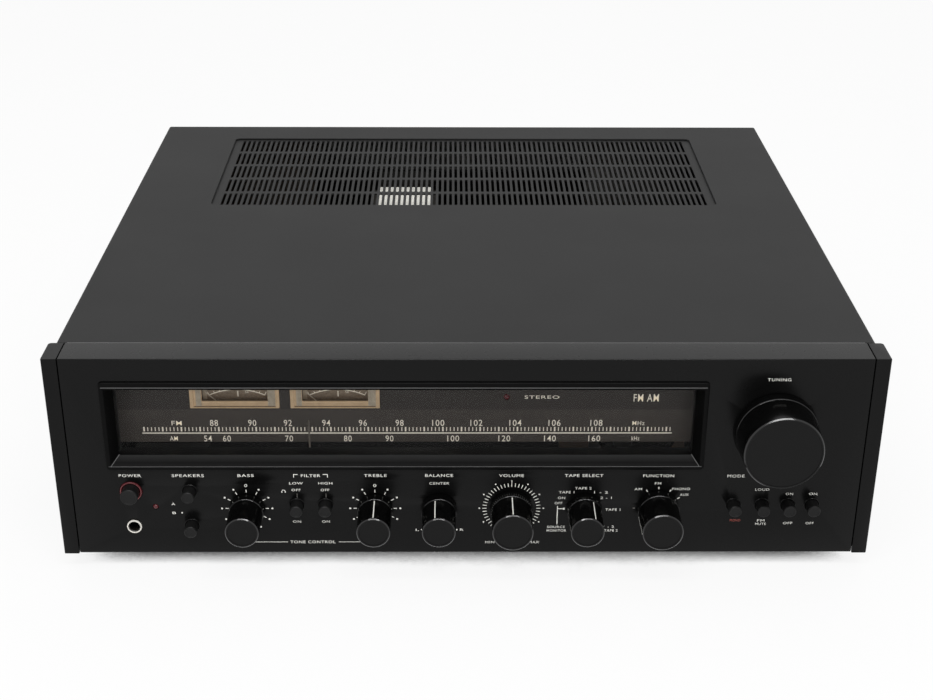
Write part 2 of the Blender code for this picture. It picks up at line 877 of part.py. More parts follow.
def make_tuning_drive():
    """The tuning knob on its shaft, with the barrel that drives the cord and the flywheel."""
    x, z = panel_place(tuning_place_shares)
    wide = tuning_knob_radius + tuning_taper
    step_z = knob_lift + knob_skirt
    bore = shaft_radius + seat_gap
    face = -knob_reach
    knob_profile = [
        (bore, -knob_lift - tuning_bore_depth),
        (bore, -knob_lift),
        (wide, -knob_lift),
        (wide - knob_step, -step_z),
        (wide - 2 * knob_step, -step_z - knob_step),
        (tuning_knob_radius, face + knob_chamfer),
        (tuning_knob_radius - knob_chamfer, face),
        (tuning_knob_radius - knob_chamfer - knob_lip, face),
        (tuning_knob_radius - knob_chamfer - knob_lip - knob_dish, face + knob_dish),
    ]
    bm = bmesh.new()
    add_turned(bm, x, z, knob_profile, big_sides)
    add_object("tuning_knob", bm, "knob_black", (x, front_y, z))
    r = cord_barrel_radius
    lip = r + cord_barrel_lip
    barrel = drum_front
    barrel_end = barrel + cord_barrel_width
    wheel = barrel_end + flywheel_gap
    wheel_end = wheel + flywheel_width
    web = (flywheel_width - flywheel_web_width) / 2
    shaft_profile = [
        (shaft_radius, -knob_lift - tuning_bore_depth + seat_gap),
        (shaft_radius, barrel), (lip, barrel), (lip, barrel + cord_barrel_lip),
        (r, barrel + cord_barrel_lip), (r, barrel_end - cord_barrel_lip),
        (lip, barrel_end - cord_barrel_lip), (lip, wheel + web),
        (flywheel_web_radius, wheel + web), (flywheel_web_radius, wheel),
        (flywheel_radius, wheel), (flywheel_radius, wheel_end),
        (flywheel_web_radius, wheel_end), (flywheel_web_radius, wheel_end - web),
        (shaft_radius, wheel_end - web), (shaft_radius, wheel_end + shaft_tail),
    ]
    bm = bmesh.new()
    add_turned(bm, x, z, shaft_profile, hole_sides)
    add_object("tuning_shaft", bm, "steel", (x, front_y, z))


def make_buttons():
    """The push buttons: a chamfered round cap and a square stem into the switch behind."""
    for name, shares in button_place_shares.items():
        make_button(name, shares, button_radius, button_reach)
    make_button("power_button", power_button_place_shares, power_button_radius, power_button_reach)


def make_button(name, shares, radius, reach):
    x, z = panel_place(shares)
    profile = [(radius, button_cap_depth), (radius, -reach + button_chamfer),
               (radius - button_chamfer, -reach)]
    bm = bmesh.new()
    add_turned(bm, x, z, profile, button_sides)
    button = add_object(name, bm, "knob_black", (x, front_y, z))
    stem = bmesh.new()
    half = stem_side / 2
    add_box(stem, (x - half, depth(button_cap_depth - joint_overlap), z - half),
            (x + half, depth(subframe_back + seat_gap + stem_grip), z + half))
    fuse(button, stem)


def make_headphone_jack():
    """The socket: a collar on the panel, a barrel through it and a body behind the subframe."""
    x, z = panel_place(jack_place_shares)
    body = subframe_back + seat_gap
    profile = [(jack_body_radius, jack_body_depth), (jack_body_radius, body),
               (jack_barrel_radius, body), (jack_barrel_radius, -seat_gap), (jack_collar_radius, -seat_gap),
               (jack_collar_radius, -jack_collar_proud), (jack_bore_radius, -jack_collar_proud),
               (jack_bore_radius, jack_bore_depth)]
    bm = bmesh.new()
    add_turned(bm, x, z, profile, button_sides)
    add_object("headphone_jack", bm, "nickel")


def make_front_subframe():
    """The steel channel behind the panel that carries the dial, the controls and the shafts."""
    half = cover_inner - seat_gap - sheet - running_gap
    front, back = depth(subframe_depth), depth(subframe_back)
    low, high = chassis_floor + seat_gap, cover_top - sheet - seat_gap
    tail = depth(subframe_back + subframe_flange)
    section = [(front, low), (tail, low), (tail, low + sheet), (back, low + sheet),
               (back, high - sheet), (tail, high - sheet), (tail, high), (front, high)]
    bm = bmesh.new()
    add_prism(bm, section, "X", -half, half)
    frame = add_object("front_subframe", bm, "steel")
    holes = bmesh.new()
    through = (subframe_depth - cut_overrun, subframe_back + cut_overrun)
    (x0, z0), (x1, z1) = dial_rect()
    margin = subframe_window_margin
    add_box(holes, (x0 + margin, depth(through[0]), z0 - subframe_window_drop),
            (x1 - margin, depth(through[1]), z1 + subframe_window_top))
    bore = shaft_radius + running_gap
    for share, _ in control_places().values():
        add_hole(holes, across(share), panel_z(knob_row_share), bore, through, small_sides)
    stem = stem_side / 2 + running_gap
    for shares in (*button_place_shares.values(), power_button_place_shares):
        x, z = panel_place(shares)
        add_box(holes, (x - stem, depth(through[0]), z - stem), (x + stem, depth(through[1]), z + stem))
    x, z = panel_place(tuning_place_shares)
    add_hole(holes, x, z, bore, through, small_sides)
    x, z = panel_place(jack_place_shares)
    add_hole(holes, x, z, jack_barrel_radius + seat_gap, through, hole_sides)
    cut(frame, holes)


def make_pointer():
    """The pointer: a saddle on its rail and a thin blade that rises in front of the dial."""
    (_, dial_low), _ = dial_rect()
    rail_front = dial_depth + dial_thickness + rail_setback
    rail_top = dial_low - rail_drop
    x = across(scale_start_share) + pointer_rest_share * pointer_travel
    gap = running_gap
    slot_front, slot_back = rail_front - gap, rail_front + sheet + gap
    saddle_front, saddle_back = slot_front - saddle_wall, slot_back + saddle_wall
    slot_top, top = rail_top + gap, rail_top + gap + saddle_wall
    low = top - saddle_height
    bm = bmesh.new()
    outline = [(depth(saddle_front), low), (depth(slot_front), low), (depth(slot_front), slot_top),
               (depth(slot_back), slot_top), (depth(slot_back), low), (depth(saddle_back), low),
               (depth(saddle_back), top), (depth(saddle_front), top)]
    add_prism(bm, outline, "X", x - saddle_width / 2, x + saddle_width / 2)
    pointer = add_object("dial_pointer", bm, "needle_red", (x, depth(rail_front), rail_top))
    blade = bmesh.new()
    blade_front = depth(window_box_depth + pointer_setback)
    arm_low = rail_top + gap + joint_overlap
    half = pointer_width / 2
    arm = [(blade_front, arm_low), (depth(saddle_front + joint_overlap), arm_low),
           (depth(saddle_front + joint_overlap), top - joint_overlap),
           (blade_front + pointer_thickness, top - joint_overlap),
           (blade_front + pointer_thickness, panel_z(pointer_top_share)),
           (blade_front, panel_z(pointer_top_share))]
    add_prism(blade, arm, "X", x - half, x + half)
    fuse(pointer, blade)
    make_pointer_rail(rail_front, rail_top)


def make_pointer_rail(rail_front, rail_top):
    """The strip that the pointer slides on, with its ends turned back to the subframe."""
    (x0, _), (x1, _) = dial_rect()
    front, back = depth(rail_front), depth(rail_front + sheet)
    feet = depth(subframe_depth - seat_gap)
    outline = [(x0, front), (x1, front), (x1, feet), (x1 - sheet, feet), (x1 - sheet, back),
               (x0 + sheet, back), (x0 + sheet, feet), (x0, feet)]
    bm = bmesh.new()
    add_prism(bm, outline, "Z", rail_top - rail_height, rail_top)
    add_object("pointer_rail", bm, "steel")


def make_chassis():
    """The pan that carries everything: two low side walls and a floor with slots under the heatsink."""
    half = cover_inner - seat_gap
    inner = half - sheet
    low, high = panel_base, panel_base + chassis_wall
    outline = [(-half, low), (half, low), (half, high), (inner, high), (inner, low + sheet),
               (-inner, low + sheet), (-inner, high), (-half, high)]
    bm = bmesh.new()
    add_prism(bm, outline, "Y", depth(trim_depth + seat_gap), depth(rear_face - sheet - seat_gap))
    pan = add_object("chassis_pan", bm, "steel")
    slots = bmesh.new()
    x0, x1 = (across(s) for s in heatsink_x_shares)
    pitch = (x1 - x0) / floor_slot_count
    middle = depth(heatsink_front + heatsink_base_width + fin_length / 2)
    for i in range(floor_slot_count):
        x = x0 + pitch * (i + 0.5)
        add_box(slots, (x - floor_slot_width / 2, middle - floor_slot_length / 2, low - cut_overrun),
                (x + floor_slot_width / 2, middle + floor_slot_length / 2, low + sheet + cut_overrun))
    cut(pan, slots)


def make_rear_panel():
    """The rear panel, with its foot on the pan and the two ears of the aerial's hinge."""
    half = cover_inner - seat_gap
    front, back = depth(rear_face - sheet), depth(rear_face)
    foot = depth(rear_face - sheet - rear_flange)
    low, high = chassis_floor + seat_gap, cover_top - sheet - seat_gap
    section = [(foot, low), (front, low), (front, panel_base), (back, panel_base), (back, high),
               (front, high), (front, low + sheet), (foot, low + sheet)]
    inner_half = half - sheet - running_gap
    bm = bmesh.new()
    add_prism(bm, section, "X", -inner_half, inner_half)
    panel = add_object("rear_panel", bm, "steel")
    x, z = across(aerial_x_share), panel_z(aerial_z_share)
    axis = depth(rear_face + aerial_setback)
    reach = axis + ear_width / 2
    ears = bmesh.new()
    for side in (-1, 1):
        near = z + side * (barrel_height / 2 + running_gap)
        bottom, top = sorted((near, near + side * ear_thickness))
        add_box(ears, (x - ear_width / 2, back - sheet / 2, bottom), (x + ear_width / 2, reach, top))
    fuse(panel, ears)
    pins = bmesh.new()
    full = barrel_height / 2 + running_gap + ear_thickness + cut_overrun
    hole = pin_radius + running_gap
    add_upright(pins, x, axis, [(hole, z - full), (hole, z + full)], small_sides)
    x, z = panel_place(gland_place_shares)
    add_hole(pins, x, z, gland_neck_radius + seat_gap,
             (rear_face - sheet - cut_overrun, rear_face + cut_overrun), button_sides)
    cut(panel, pins)


def make_aerial():
    """The ferrite rod aerial, clamped to a barrel that turns between the rear panel's ears."""
    x, z = across(aerial_x_share), panel_z(aerial_z_share)
    axis = depth(rear_face + aerial_setback)
    low, high = z - barrel_height / 2, z + barrel_height / 2
    profile = [(pin_radius, low - pin_length), (pin_radius, low), (barrel_radius, low),
               (barrel_radius, high), (pin_radius, high), (pin_radius, high + pin_length)]
    bm = bmesh.new()
    add_upright(bm, x, axis, profile, button_sides)
    aerial = add_object("ferrite_aerial", bm, "ferrite", (x, axis, z))
    clamp = bmesh.new()
    add_box(clamp, (x - clamp_length, axis - clamp_depth / 2, z - clamp_height / 2),
            (x, axis + clamp_depth / 2, z + clamp_height / 2))
    fuse(aerial, clamp)
    rod = bmesh.new()
    start = x - barrel_radius - rod_end_gap
    add_rings(rod, [[(end, axis + a, z + b) for a, b in circle(rod_radius, button_sides)]
                    for end in (start, start - rod_length)])
    fuse(aerial, rod)


def make_control_boards():
    """The tone and selector boards: pots, rotary switches and filter switches on upright boards."""
    front = subframe_back + seat_gap
    board = front + pot_length
    z = panel_z(knob_row_share)
    low = control_floor
    groups = (("tone_board", ("bass_knob", "volume_knob"), pot_radius),
              ("selector_board", ("tape_knob", "function_knob"), rotary_switch_radius))
    places = {name: across(share) for name, (share, _) in control_places().items()}
    for name, ends, radius in groups:
        x0 = places[ends[0]] - radius - board_margin / 2
        x1 = places[ends[1]] + radius + board_margin / 2
        carried = [x for x in places.values() if x0 < x < x1]
        high = z + radius + board_margin / 2
        bm = bmesh.new()
        back = depth(board + board_thickness)
        foot = depth(board + board_thickness + board_foot)
        section = [(depth(board), low), (foot, low), (foot, low + board_thickness),
                   (back, low + board_thickness), (back, high), (depth(board), high)]
        add_prism(bm, section, "X", x0, x1)
        made = add_object(name, bm, "board")
        bore = shaft_radius + running_gap
        profile = [(radius, board + joint_overlap), (radius, front), (bore, front),
                   (bore, front + shaft_grip + running_gap)]
        for x in carried:
            pot = bmesh.new()
            add_turned(pot, x, z, profile, hole_sides)
            fuse(made, pot)
        if name == "tone_board":
            add_filter_switches(made, front, board)


def add_filter_switches(tone_board, front, board):
    """The two push switches that the tone board carries for the filter buttons."""
    for key in ("low_filter_button", "high_filter_button"):
        x, z = panel_place(button_place_shares[key])
        half = stem_side / 2 + switch_margin
        back = depth(board + joint_overlap)
        body = bmesh.new()
        add_box(body, (x - half, depth(front), z - half), (x + half, back, z + half))
        fuse(tone_board, body)
    slots = bmesh.new()
    for key in ("low_filter_button", "high_filter_button"):
        x, z = panel_place(button_place_shares[key])
        slot = stem_side / 2 + running_gap
        add_box(slots, (x - slot, depth(front - cut_overrun), z - slot),
                (x + slot, depth(front + switch_body_depth), z + slot))
    cut(tone_board, slots)


def make_switch_banks():
    """The two push-switch banks, each a block on legs with a blind slot for every stem."""
    left = [button_place_shares["speaker_a_button"], button_place_shares["speaker_b_button"],
            power_button_place_shares]
    right = [button_place_shares[f"mode_button_{n}"] for n in (1, 2, 3, 4)]
    front = subframe_back + seat_gap
    low = control_floor
    for name, members in (("left_switch_bank", left), ("mode_switch_bank", right)):
        places = [panel_place(shares) for shares in members]
        xs, zs = [p[0] for p in places], [p[1] for p in places]
        x0, x1 = min(xs) - switch_rim, max(xs) + switch_rim
        z1 = max(zs) + switch_rim
        section = [(depth(front), low), (depth(front + switch_body_depth), low),
                   (depth(front + switch_body_depth), z1), (depth(front), z1)]
        bm = bmesh.new()
        add_prism(bm, section, "X", x0, x1)
        bank = add_object(name, bm, "black_plastic")
        slots = bmesh.new()
        slot = stem_side / 2 + running_gap
        for x, z in places:
            add_box(slots, (x - slot, depth(front - cut_overrun), z - slot),
                    (x + slot, depth(front + stem_grip + button_travel + running_gap), z + slot))
        jack_x, jack_z = panel_place(jack_place_shares)
        if x0 - jack_body_radius < jack_x < x1:
            room = jack_body_radius + running_gap
            through = (front - cut_overrun, jack_body_depth + running_gap)
            add_hole(slots, jack_x, jack_z, room, through, hole_sides)
        cut(bank, slots)


def board_on_posts(name, x_shares, ends):
    """A printed board on four posts that stand on the pan's floor, between two depths."""
    x0, x1 = (across(s) for s in x_shares)
    y0, y1 = (depth(end) for end in ends)
    floor = chassis_floor + seat_gap
    low = floor + standoff_height
    bm = bmesh.new()
    add_box(bm, (x0, y0, low), (x1, y1, low + board_thickness))
    board = add_object(name, bm, "board")
    posts = bmesh.new()
    inset = 2 * standoff_radius
    profile = [(standoff_radius, floor), (standoff_radius, low + joint_overlap)]
    for x in (x0 + inset, x1 - inset):
        for y in (y0 + inset, y1 - inset):
            add_upright(posts, x, y, profile, small_sides)
    fuse(board, posts)
    return board, low + board_thickness


def spread(ends, count, i):
    return ends[0] + (ends[1] - ends[0]) * i / (count - 1)


def make_amplifier_board():
    """The amplifier board, with two filter capacitors and a row of smaller ones."""
    ends = (amplifier_front, amplifier_back)
    board, top = board_on_posts("amplifier_board", amplifier_x_shares, ends)
    foot = top - joint_overlap
    cans = bmesh.new()
    bead = can_bead_share * small_can_radius
    r, high = capacitor_radius, top + capacitor_height
    for share in capacitor_x_shares:
        add_upright(cans, across(share), depth(amplifier_back - capacitor_edge - capacitor_radius),
                    [(r, foot), (r, high - bead), (r - bead, high)], hole_sides)
    for i in range(small_can_columns):
        share = spread(small_can_x_shares, small_can_columns, i)
        add_upright(cans, across(share), depth(amplifier_front + small_can_edge),
                    [(small_can_radius, foot), (small_can_radius, top + small_can_height)], small_sides)
    fuse(board, cans)


def make_tuner_board():
    """The tuner board, with a row of screened coils."""
    back = tuner_depth + tuner_length
    board, top = board_on_posts("tuner_board", tuner_x_shares, (tuner_depth, back))
    cans = bmesh.new()
    half = coil_can_side / 2
    y = depth(back - coil_can_edge)
    low, high = top - joint_overlap, top + coil_can_height
    for i in range(coil_can_columns):
        x = across(spread(coil_can_x_shares, coil_can_columns, i))
        add_box(cans, (x - half, y - half, low), (x + half, y + half, high))
    fuse(board, cans)
    return top


def make_tuning_capacitor(board_top):
    """The gang capacitor: a frame on two legs with its stator plates, and the rotor between them."""
    x, z = across(drum_x_share), panel_z(drum_z_share)
    front = drum_front + 2 * drum_lip_width + drum_groove_width + gang_setback
    back = front + gang_length
    half = gang_width / 2
    top = z + rotor_radius + gang_top_gap
    shelf = z - rotor_radius - gang_top_gap
    low = board_top + seat_gap
    under = shelf - gang_shelf
    inner_front, inner_back = front + gang_wall, back - gang_wall
    y0, y1, y2, y3 = (depth(d) for d in (front, inner_front, inner_back, back))
    section = [(y0, low), (y1, low), (y1, under), (y2, under), (y2, low), (y3, low),
               (y3, top), (y2, top), (y2, shelf), (y1, shelf), (y1, top), (y0, top)]
    bm = bmesh.new()
    add_prism(bm, section, "X", x - half, x + half)
    frame = add_object("tuning_capacitor", bm, "aluminium")
    first = (front + back) / 2 - plate_pitch * (rotor_plates - 1) / 2
    plate_low, plate_high = shelf + gang_top_gap, top - gang_top_gap
    comb_root = x - rotor_radius - stator_side_gap
    comb_tip = x - rotor_shaft_radius - stator_shaft_gap
    comb_front, comb_back = depth(inner_front - joint_overlap), depth(inner_back + joint_overlap)
    outline = [(x - half, comb_front), (comb_root, comb_front)]
    for i in range(rotor_plates - 1):
        at = depth(first + plate_pitch * (i + 0.5))
        near, far = at - plate_thickness / 2, at + plate_thickness / 2
        outline += [(comb_root, near), (comb_tip, near), (comb_tip, far), (comb_root, far)]
    outline += [(comb_root, comb_back), (x - half, comb_back)]
    stator = bmesh.new()
    add_prism(stator, outline, "Z", plate_low, plate_high)
    fuse(frame, stator)
    holes = bmesh.new()
    for radius, near, far in ((shaft_radius, front, inner_front), (rotor_shaft_radius, inner_back, back)):
        add_hole(holes, x, z, radius + running_gap, (near - cut_overrun, far + cut_overrun), small_sides)
    cut(frame, holes)
    make_rotor(x, z, first, (inner_front + running_gap, back + running_gap))
    return front


def make_rotor(x, z, first, ends):
    """Half-round plates on one shaft, turned out of the stator as far as the pointer stands."""
    bm = bmesh.new()
    add_turned(bm, x, z, [(rotor_shaft_radius, ends[0]), (rotor_shaft_radius, ends[1])], small_sides)
    rotor = add_object("capacitor_rotor", bm, "aluminium", (x, depth(ends[0]), z))
    turned_out = pointer_rest_share * 2 * math.pi * rotor_sweep_turns
    angles = [math.pi / 2 - turned_out + math.pi * i / plate_steps for i in range(plate_steps + 1)]
    half_disc = [(rotor_radius * math.cos(a), rotor_radius * math.sin(a)) for a in angles]
    plates = bmesh.new()
    for i in range(rotor_plates):
        at = depth(first + plate_pitch * i)
        add_prism(plates, [(x + a, z + b) for a, b in half_disc], "Y",
                  at - plate_thickness / 2, at + plate_thickness / 2)
    fuse(rotor, plates)


def make_dial_drum(gang_front):
    """The cord drum: a grooved rim on a web with holes, its shaft in the capacitor's front bearing."""
    x, z = across(drum_x_share), panel_z(drum_z_share)
    rim = drum_radius + drum_lip
    start = drum_front
    groove = start + drum_lip_width
    groove_end = groove + drum_groove_width
    end = groove_end + drum_lip_width
    web = (start + end) / 2 + drum_web / 2
    inner = drum_radius - drum_lip
    profile = [
        (drum_hub_radius, start), (drum_hub_radius, web - drum_web),
        (inner, web - drum_web), (inner, start),
        (rim, start), (rim, groove), (drum_radius, (groove + groove_end) / 2), (rim, groove_end),
        (rim, end), (inner, end), (inner, web),
        (shaft_radius, web), (shaft_radius, gang_front + gang_wall),
    ]
    bm = bmesh.new()
    add_turned(bm, x, z, profile, knob_sides)
    drum = add_object("dial_drum", bm, "black_plastic", (x, depth(start), z))
    holes = bmesh.new()
    ring = drum_hole_share * drum_radius
    for i in range(drum_holes):
        angle = 2 * math.pi * i / drum_holes
        add_hole(holes, x + ring * math.cos(angle), z + ring * math.sin(angle), drum_hole_radius,
                 (start - cut_overrun, end + cut_overrun), small_sides)
    cut(drum, holes)


def make_power_transformer():
    """The transformer: a laminated core, the taped coil through it and its mounting bracket."""
    x, y = across(transformer_x_share), depth(transformer_middle)
    floor = chassis_floor + seat_gap
    middle = floor + core_lift + coil_height / 2
    low = middle - core_height / 2
    bm = bmesh.new()
    add_box(bm, (x - core_width / 2, y - core_depth / 2, low),
            (x + core_width / 2, y + core_depth / 2, low + core_height))
    core = add_object("power_transformer", bm, "core_steel")
    coil = bmesh.new()
    outline = rounded((y - coil_depth / 2, middle - coil_height / 2),
                      (y + coil_depth / 2, middle + coil_height / 2), coil_round, fold_steps)
    add_prism(coil, outline, "X", x - coil_width / 2, x + coil_width / 2)
    fuse(core, coil)
    bracket = bmesh.new()
    leg = bracket_thickness
    half = bracket_length / 2
    inner = core_width / 2 - joint_overlap
    top = low + core_height / 2
    outline = [(half, floor), (inner, floor), (inner, top), (inner + leg, top), (inner + leg, floor + leg),
               (half, floor + leg)]
    for side in (-1, 1):
        add_prism(bracket, [(x + side * a, b) for a, b in outline], "Y", y - bracket_width / 2,
                  y + bracket_width / 2)
    fuse(core, bracket)


def make_heatsink():
    """The heatsink: an extruded comb of upright fins on a back plate, standing on two feet."""
    x0, x1 = (across(s) for s in heatsink_x_shares)
    front = depth(heatsink_front)
    base = front + heatsink_base_width
    tip = base + fin_length
    pitch = (x1 - x0 - fin_thickness) / (fin_count - 1)
    outline = [(x0, front), (x1, front)]
    for i in reversed(range(fin_count)):
        left = x0 + pitch * i
        outline += [(left + fin_thickness, tip), (left, tip)]
        if i:
            outline += [(left, base), (left - pitch + fin_thickness, base)]
    floor = chassis_floor + seat_gap
    bm = bmesh.new()
    add_prism(bm, outline, "Z", floor + heatsink_lift, floor + heatsink_lift + heatsink_height)
    sink = add_object("heatsink", bm, "aluminium")
    feet = bmesh.new()
    foot_top = floor + heatsink_lift + joint_overlap
    for x in (x0, x1 - heatsink_foot):
        add_box(feet, (x, front, floor), (x + heatsink_foot, base, foot_top))
    fuse(sink, feet)


def screw_block(name, x_shares, z_shares, count):
    """A terminal block on the rear panel with a row of screw heads."""
    x0, x1 = (across(s) for s in x_shares)
    z0, z1 = (panel_z(s) for s in z_shares)
    back = rear_face + seat_gap
    bm = bmesh.new()
    add_box(bm, (x0, depth(back), z0), (x1, depth(back + terminal_thickness), z1))
    block = add_object(name, bm, "black_plastic")
    heads = bmesh.new()
    pitch = (x1 - x0) / count
    top = back + terminal_thickness
    profile = [(screw_head_radius, top - joint_overlap), (screw_head_radius, top + screw_head_height)]
    for i in range(count):
        add_turned(heads, x0 + pitch * (i + 0.5), (z0 + z1) / 2, profile, small_sides)
    fuse(block, heads)


def make_rear_connections():
    """Speaker and aerial terminals, the phono jacks, the fuse holder and the mains cord's gland."""
    screw_block("speaker_terminals", speaker_block_x_shares, speaker_block_z_shares, speaker_screws)
    screw_block("antenna_terminals", antenna_block_x_shares, antenna_block_z_shares, antenna_screws)
    make_phono_jacks()
    back = rear_face + seat_gap
    x, z = panel_place(gland_place_shares)
    bm = bmesh.new()
    end = rear_face + gland_length
    inner = rear_face - sheet - gland_neck_length
    profile = [(gland_neck_radius, inner), (gland_neck_radius, back), (gland_flange_radius, back),
               (gland_flange_radius, back + gland_flange), (gland_radius, back + gland_flange),
               (gland_tip_radius, end), (gland_bore_radius, end), (gland_bore_radius, inner)]
    add_sleeve(bm, x, z, profile, button_sides)
    add_object("cord_gland", bm, "black_plastic")
    x, z = panel_place(fuse_place_shares)
    profile = [(fuse_radius, back), (fuse_radius, back + gland_flange),
               (fuse_cap_radius, back + gland_flange), (fuse_cap_radius, back + fuse_length)]
    bm = bmesh.new()
    add_turned(bm, x, z, profile, button_sides)
    add_object("fuse_holder", bm, "black_plastic")


def make_phono_jacks():
    """The phono jacks: two rows of turned shells on one plate."""
    x0, x1 = (across(s) for s in phono_plate_x_shares)
    z0, z1 = (panel_z(s) for s in phono_plate_z_shares)
    back = rear_face + seat_gap
    plate = back + phono_plate_thickness
    bm = bmesh.new()
    add_box(bm, (x0, depth(back), z0), (x1, depth(plate), z1))
    jacks = add_object("phono_jacks", bm, "nickel")
    shells = bmesh.new()
    end = plate + phono_shell_length
    profile = [(phono_shell_radius, plate - joint_overlap), (phono_shell_radius, end),
               (phono_hole_radius, end), (phono_hole_radius, end - phono_hole_depth)]
    for row in range(phono_rows):
        z = z0 + (z1 - z0) * (row + 0.5) / phono_rows
        for column in range(phono_columns):
            x = x0 + (x1 - x0) * (column + 0.5) / phono_columns
            add_turned(shells, x, z, profile, small_sides)
    fuse(jacks, shells)


def make_feet():
    """Four moulded feet with a rubber pad's recess under each."""
    for end, y in (("front", foot_front_depth), ("rear", foot_back_depth)):
        for side, sign in (("left", -1), ("right", 1)):
            profile = [(foot_top_radius, panel_base - seat_gap), (foot_tip_radius, foot_pad_height),
                       (foot_pad_radius, foot_pad_height), (foot_pad_radius, 0)]
            bm = bmesh.new()
            add_upright(bm, sign * across(foot_x_share), depth(y), profile, hole_sides)
            add_object(f"{end}_{side}_foot", bm, "rubber")


def build_receiver():
    clear_scene()
    make_top_cover()
    make_vent_grille()
    make_faceplate()
    make_end_caps()
    make_window_bezel()
    make_dial_lens()
    make_dial_plate()
    make_meters()
    make_lamps()
    make_knobs()
    make_tuning_drive()
    make_buttons()
    make_headphone_jack()
    make_front_subframe()
    make_pointer()
    make_chassis()
    make_rear_panel()
    make_aerial()
    make_control_boards()
    make_switch_banks()
    make_amplifier_board()
    board_top = make_tuner_board()
    gang_front = make_tuning_capacitor(board_top)
    make_dial_drum(gang_front)
    make_power_transformer()
    make_heatsink()
    make_rear_connections()
    make_feet()


build_receiver()
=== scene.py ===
"""Looks of a stereo receiver, for Blender 4.5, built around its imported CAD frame.

Metres, +Z up, front towards -Y, as in the frame. Places on the panel are given in millimetres:
X from the middle, Z up from the panel's lower edge, and depth back from the panel's front face.
"""

import json
import math

import bmesh
import bpy
from mathutils import Matrix, Vector

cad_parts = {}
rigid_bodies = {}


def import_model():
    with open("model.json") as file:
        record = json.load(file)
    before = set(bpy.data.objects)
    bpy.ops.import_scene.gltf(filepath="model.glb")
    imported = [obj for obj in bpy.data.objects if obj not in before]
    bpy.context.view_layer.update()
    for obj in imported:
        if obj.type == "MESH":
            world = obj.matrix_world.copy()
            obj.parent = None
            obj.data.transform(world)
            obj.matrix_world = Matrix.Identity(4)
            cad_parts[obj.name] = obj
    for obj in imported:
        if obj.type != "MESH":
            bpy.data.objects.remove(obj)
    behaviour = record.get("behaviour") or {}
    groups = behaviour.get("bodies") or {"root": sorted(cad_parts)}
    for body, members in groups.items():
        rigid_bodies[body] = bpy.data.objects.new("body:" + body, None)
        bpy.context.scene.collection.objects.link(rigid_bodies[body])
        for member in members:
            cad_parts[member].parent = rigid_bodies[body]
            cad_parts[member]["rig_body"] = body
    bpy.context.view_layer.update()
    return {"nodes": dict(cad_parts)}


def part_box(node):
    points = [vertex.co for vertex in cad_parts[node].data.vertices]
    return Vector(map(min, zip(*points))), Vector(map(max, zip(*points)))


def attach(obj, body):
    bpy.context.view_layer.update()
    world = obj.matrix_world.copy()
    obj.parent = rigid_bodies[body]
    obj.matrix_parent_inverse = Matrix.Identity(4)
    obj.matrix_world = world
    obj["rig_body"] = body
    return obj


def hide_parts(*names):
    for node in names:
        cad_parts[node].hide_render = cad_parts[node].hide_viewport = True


bl_info = {
    "name": "Stereo receiver looks",
    "version": (1, 0, 0),
    "blender": (4, 5, 0),
    "location": "3D View > Sidebar > Receiver",
    "description": "Finishes, lettering and fine pieces of a stereo receiver around its CAD frame",
    "category": "Object",
}

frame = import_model()

MM = 0.001
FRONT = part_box("faceplate")[0].y
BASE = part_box("faceplate")[0].z
PANEL_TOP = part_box("faceplate")[1].z


def linear(code):
    """Linear RGB of an sRGB hex colour."""
    parts = [int(code[i:i + 2], 16) / 255 for i in (0, 2, 4)]
    return tuple(p / 12.92 if p <= 0.04045 else ((p + 0.055) / 1.055) ** 2.4 for p in parts)


def as_linear(paint):
    """Linear RGB of a colour that is given as sRGB hex or taken from the colours below."""
    return linear(paint) if isinstance(paint, str) else tuple(paint)


# Sizes and colours that a user would change


def length(label, description, default):
    return bpy.props.FloatProperty(name=label, description=description, default=default, unit="LENGTH")


def colour(label, description, code):
    return bpy.props.FloatVectorProperty(
        name=label, description=description, default=linear(code), subtype="COLOR", min=0, max=1)


class ReceiverSizes(bpy.types.PropertyGroup):
    slot_columns: bpy.props.IntProperty(
        name="Slot columns", description="Slots in each row of the cover's grille", default=90, min=2)
    slot_rows: bpy.props.IntProperty(
        name="Slot rows", description="Rows of slots in the cover's grille", default=5, min=1)
    slot_pitch: length("Slot pitch", "From one slot to the next in a row", 0.003966)
    slot_row_pitch: length("Row pitch", "From one row of slots to the next", 0.0305)
    slot_width: length("Slot width", "Width of each slot", 0.0021)
    slot_length: length("Slot length", "Length of each slot", 0.0266)
    ink_height: length("Ink height", "How far the printed lettering stands on its plate", 0.00004)
    edge_radius: length("Edge radius", "Eased edge of moulded and folded pieces", 0.0003)
    knob_sides: bpy.props.IntProperty(
        name="Knob sides", description="Sides of each turned knob", default=96, min=12)
    dial_tick_pitch: length("Dial tick pitch", "From one tick of the dial's scale to the next", 0.00227)


class ReceiverColours(bpy.types.PropertyGroup):
    cover: colour("Cover", "Textured enamel of the steel cover", "262626")
    panel: colour("Panel", "Black anodising of the front panel", "0a0a0a")
    caps: colour("End caps", "Moulded end caps of the panel", "0c0c0c")
    gloss: colour("Gloss black", "Sides of the knobs and rims of the buttons", "060606")
    lettering: colour("Lettering", "Ink of the panel's lettering", "fbf9f2")
    dial: colour("Dial", "Smoked plate of the dial", "4b4540")
    dial_ink: colour("Dial ink", "Numbers and ticks of the dial", "efe8d8")
    meter: colour("Meter frame", "Warm plastic frame of the meters", "c2a683")
    lamp: colour("Lamps", "Red lenses of the lamps", "4a1016")


# Finishes


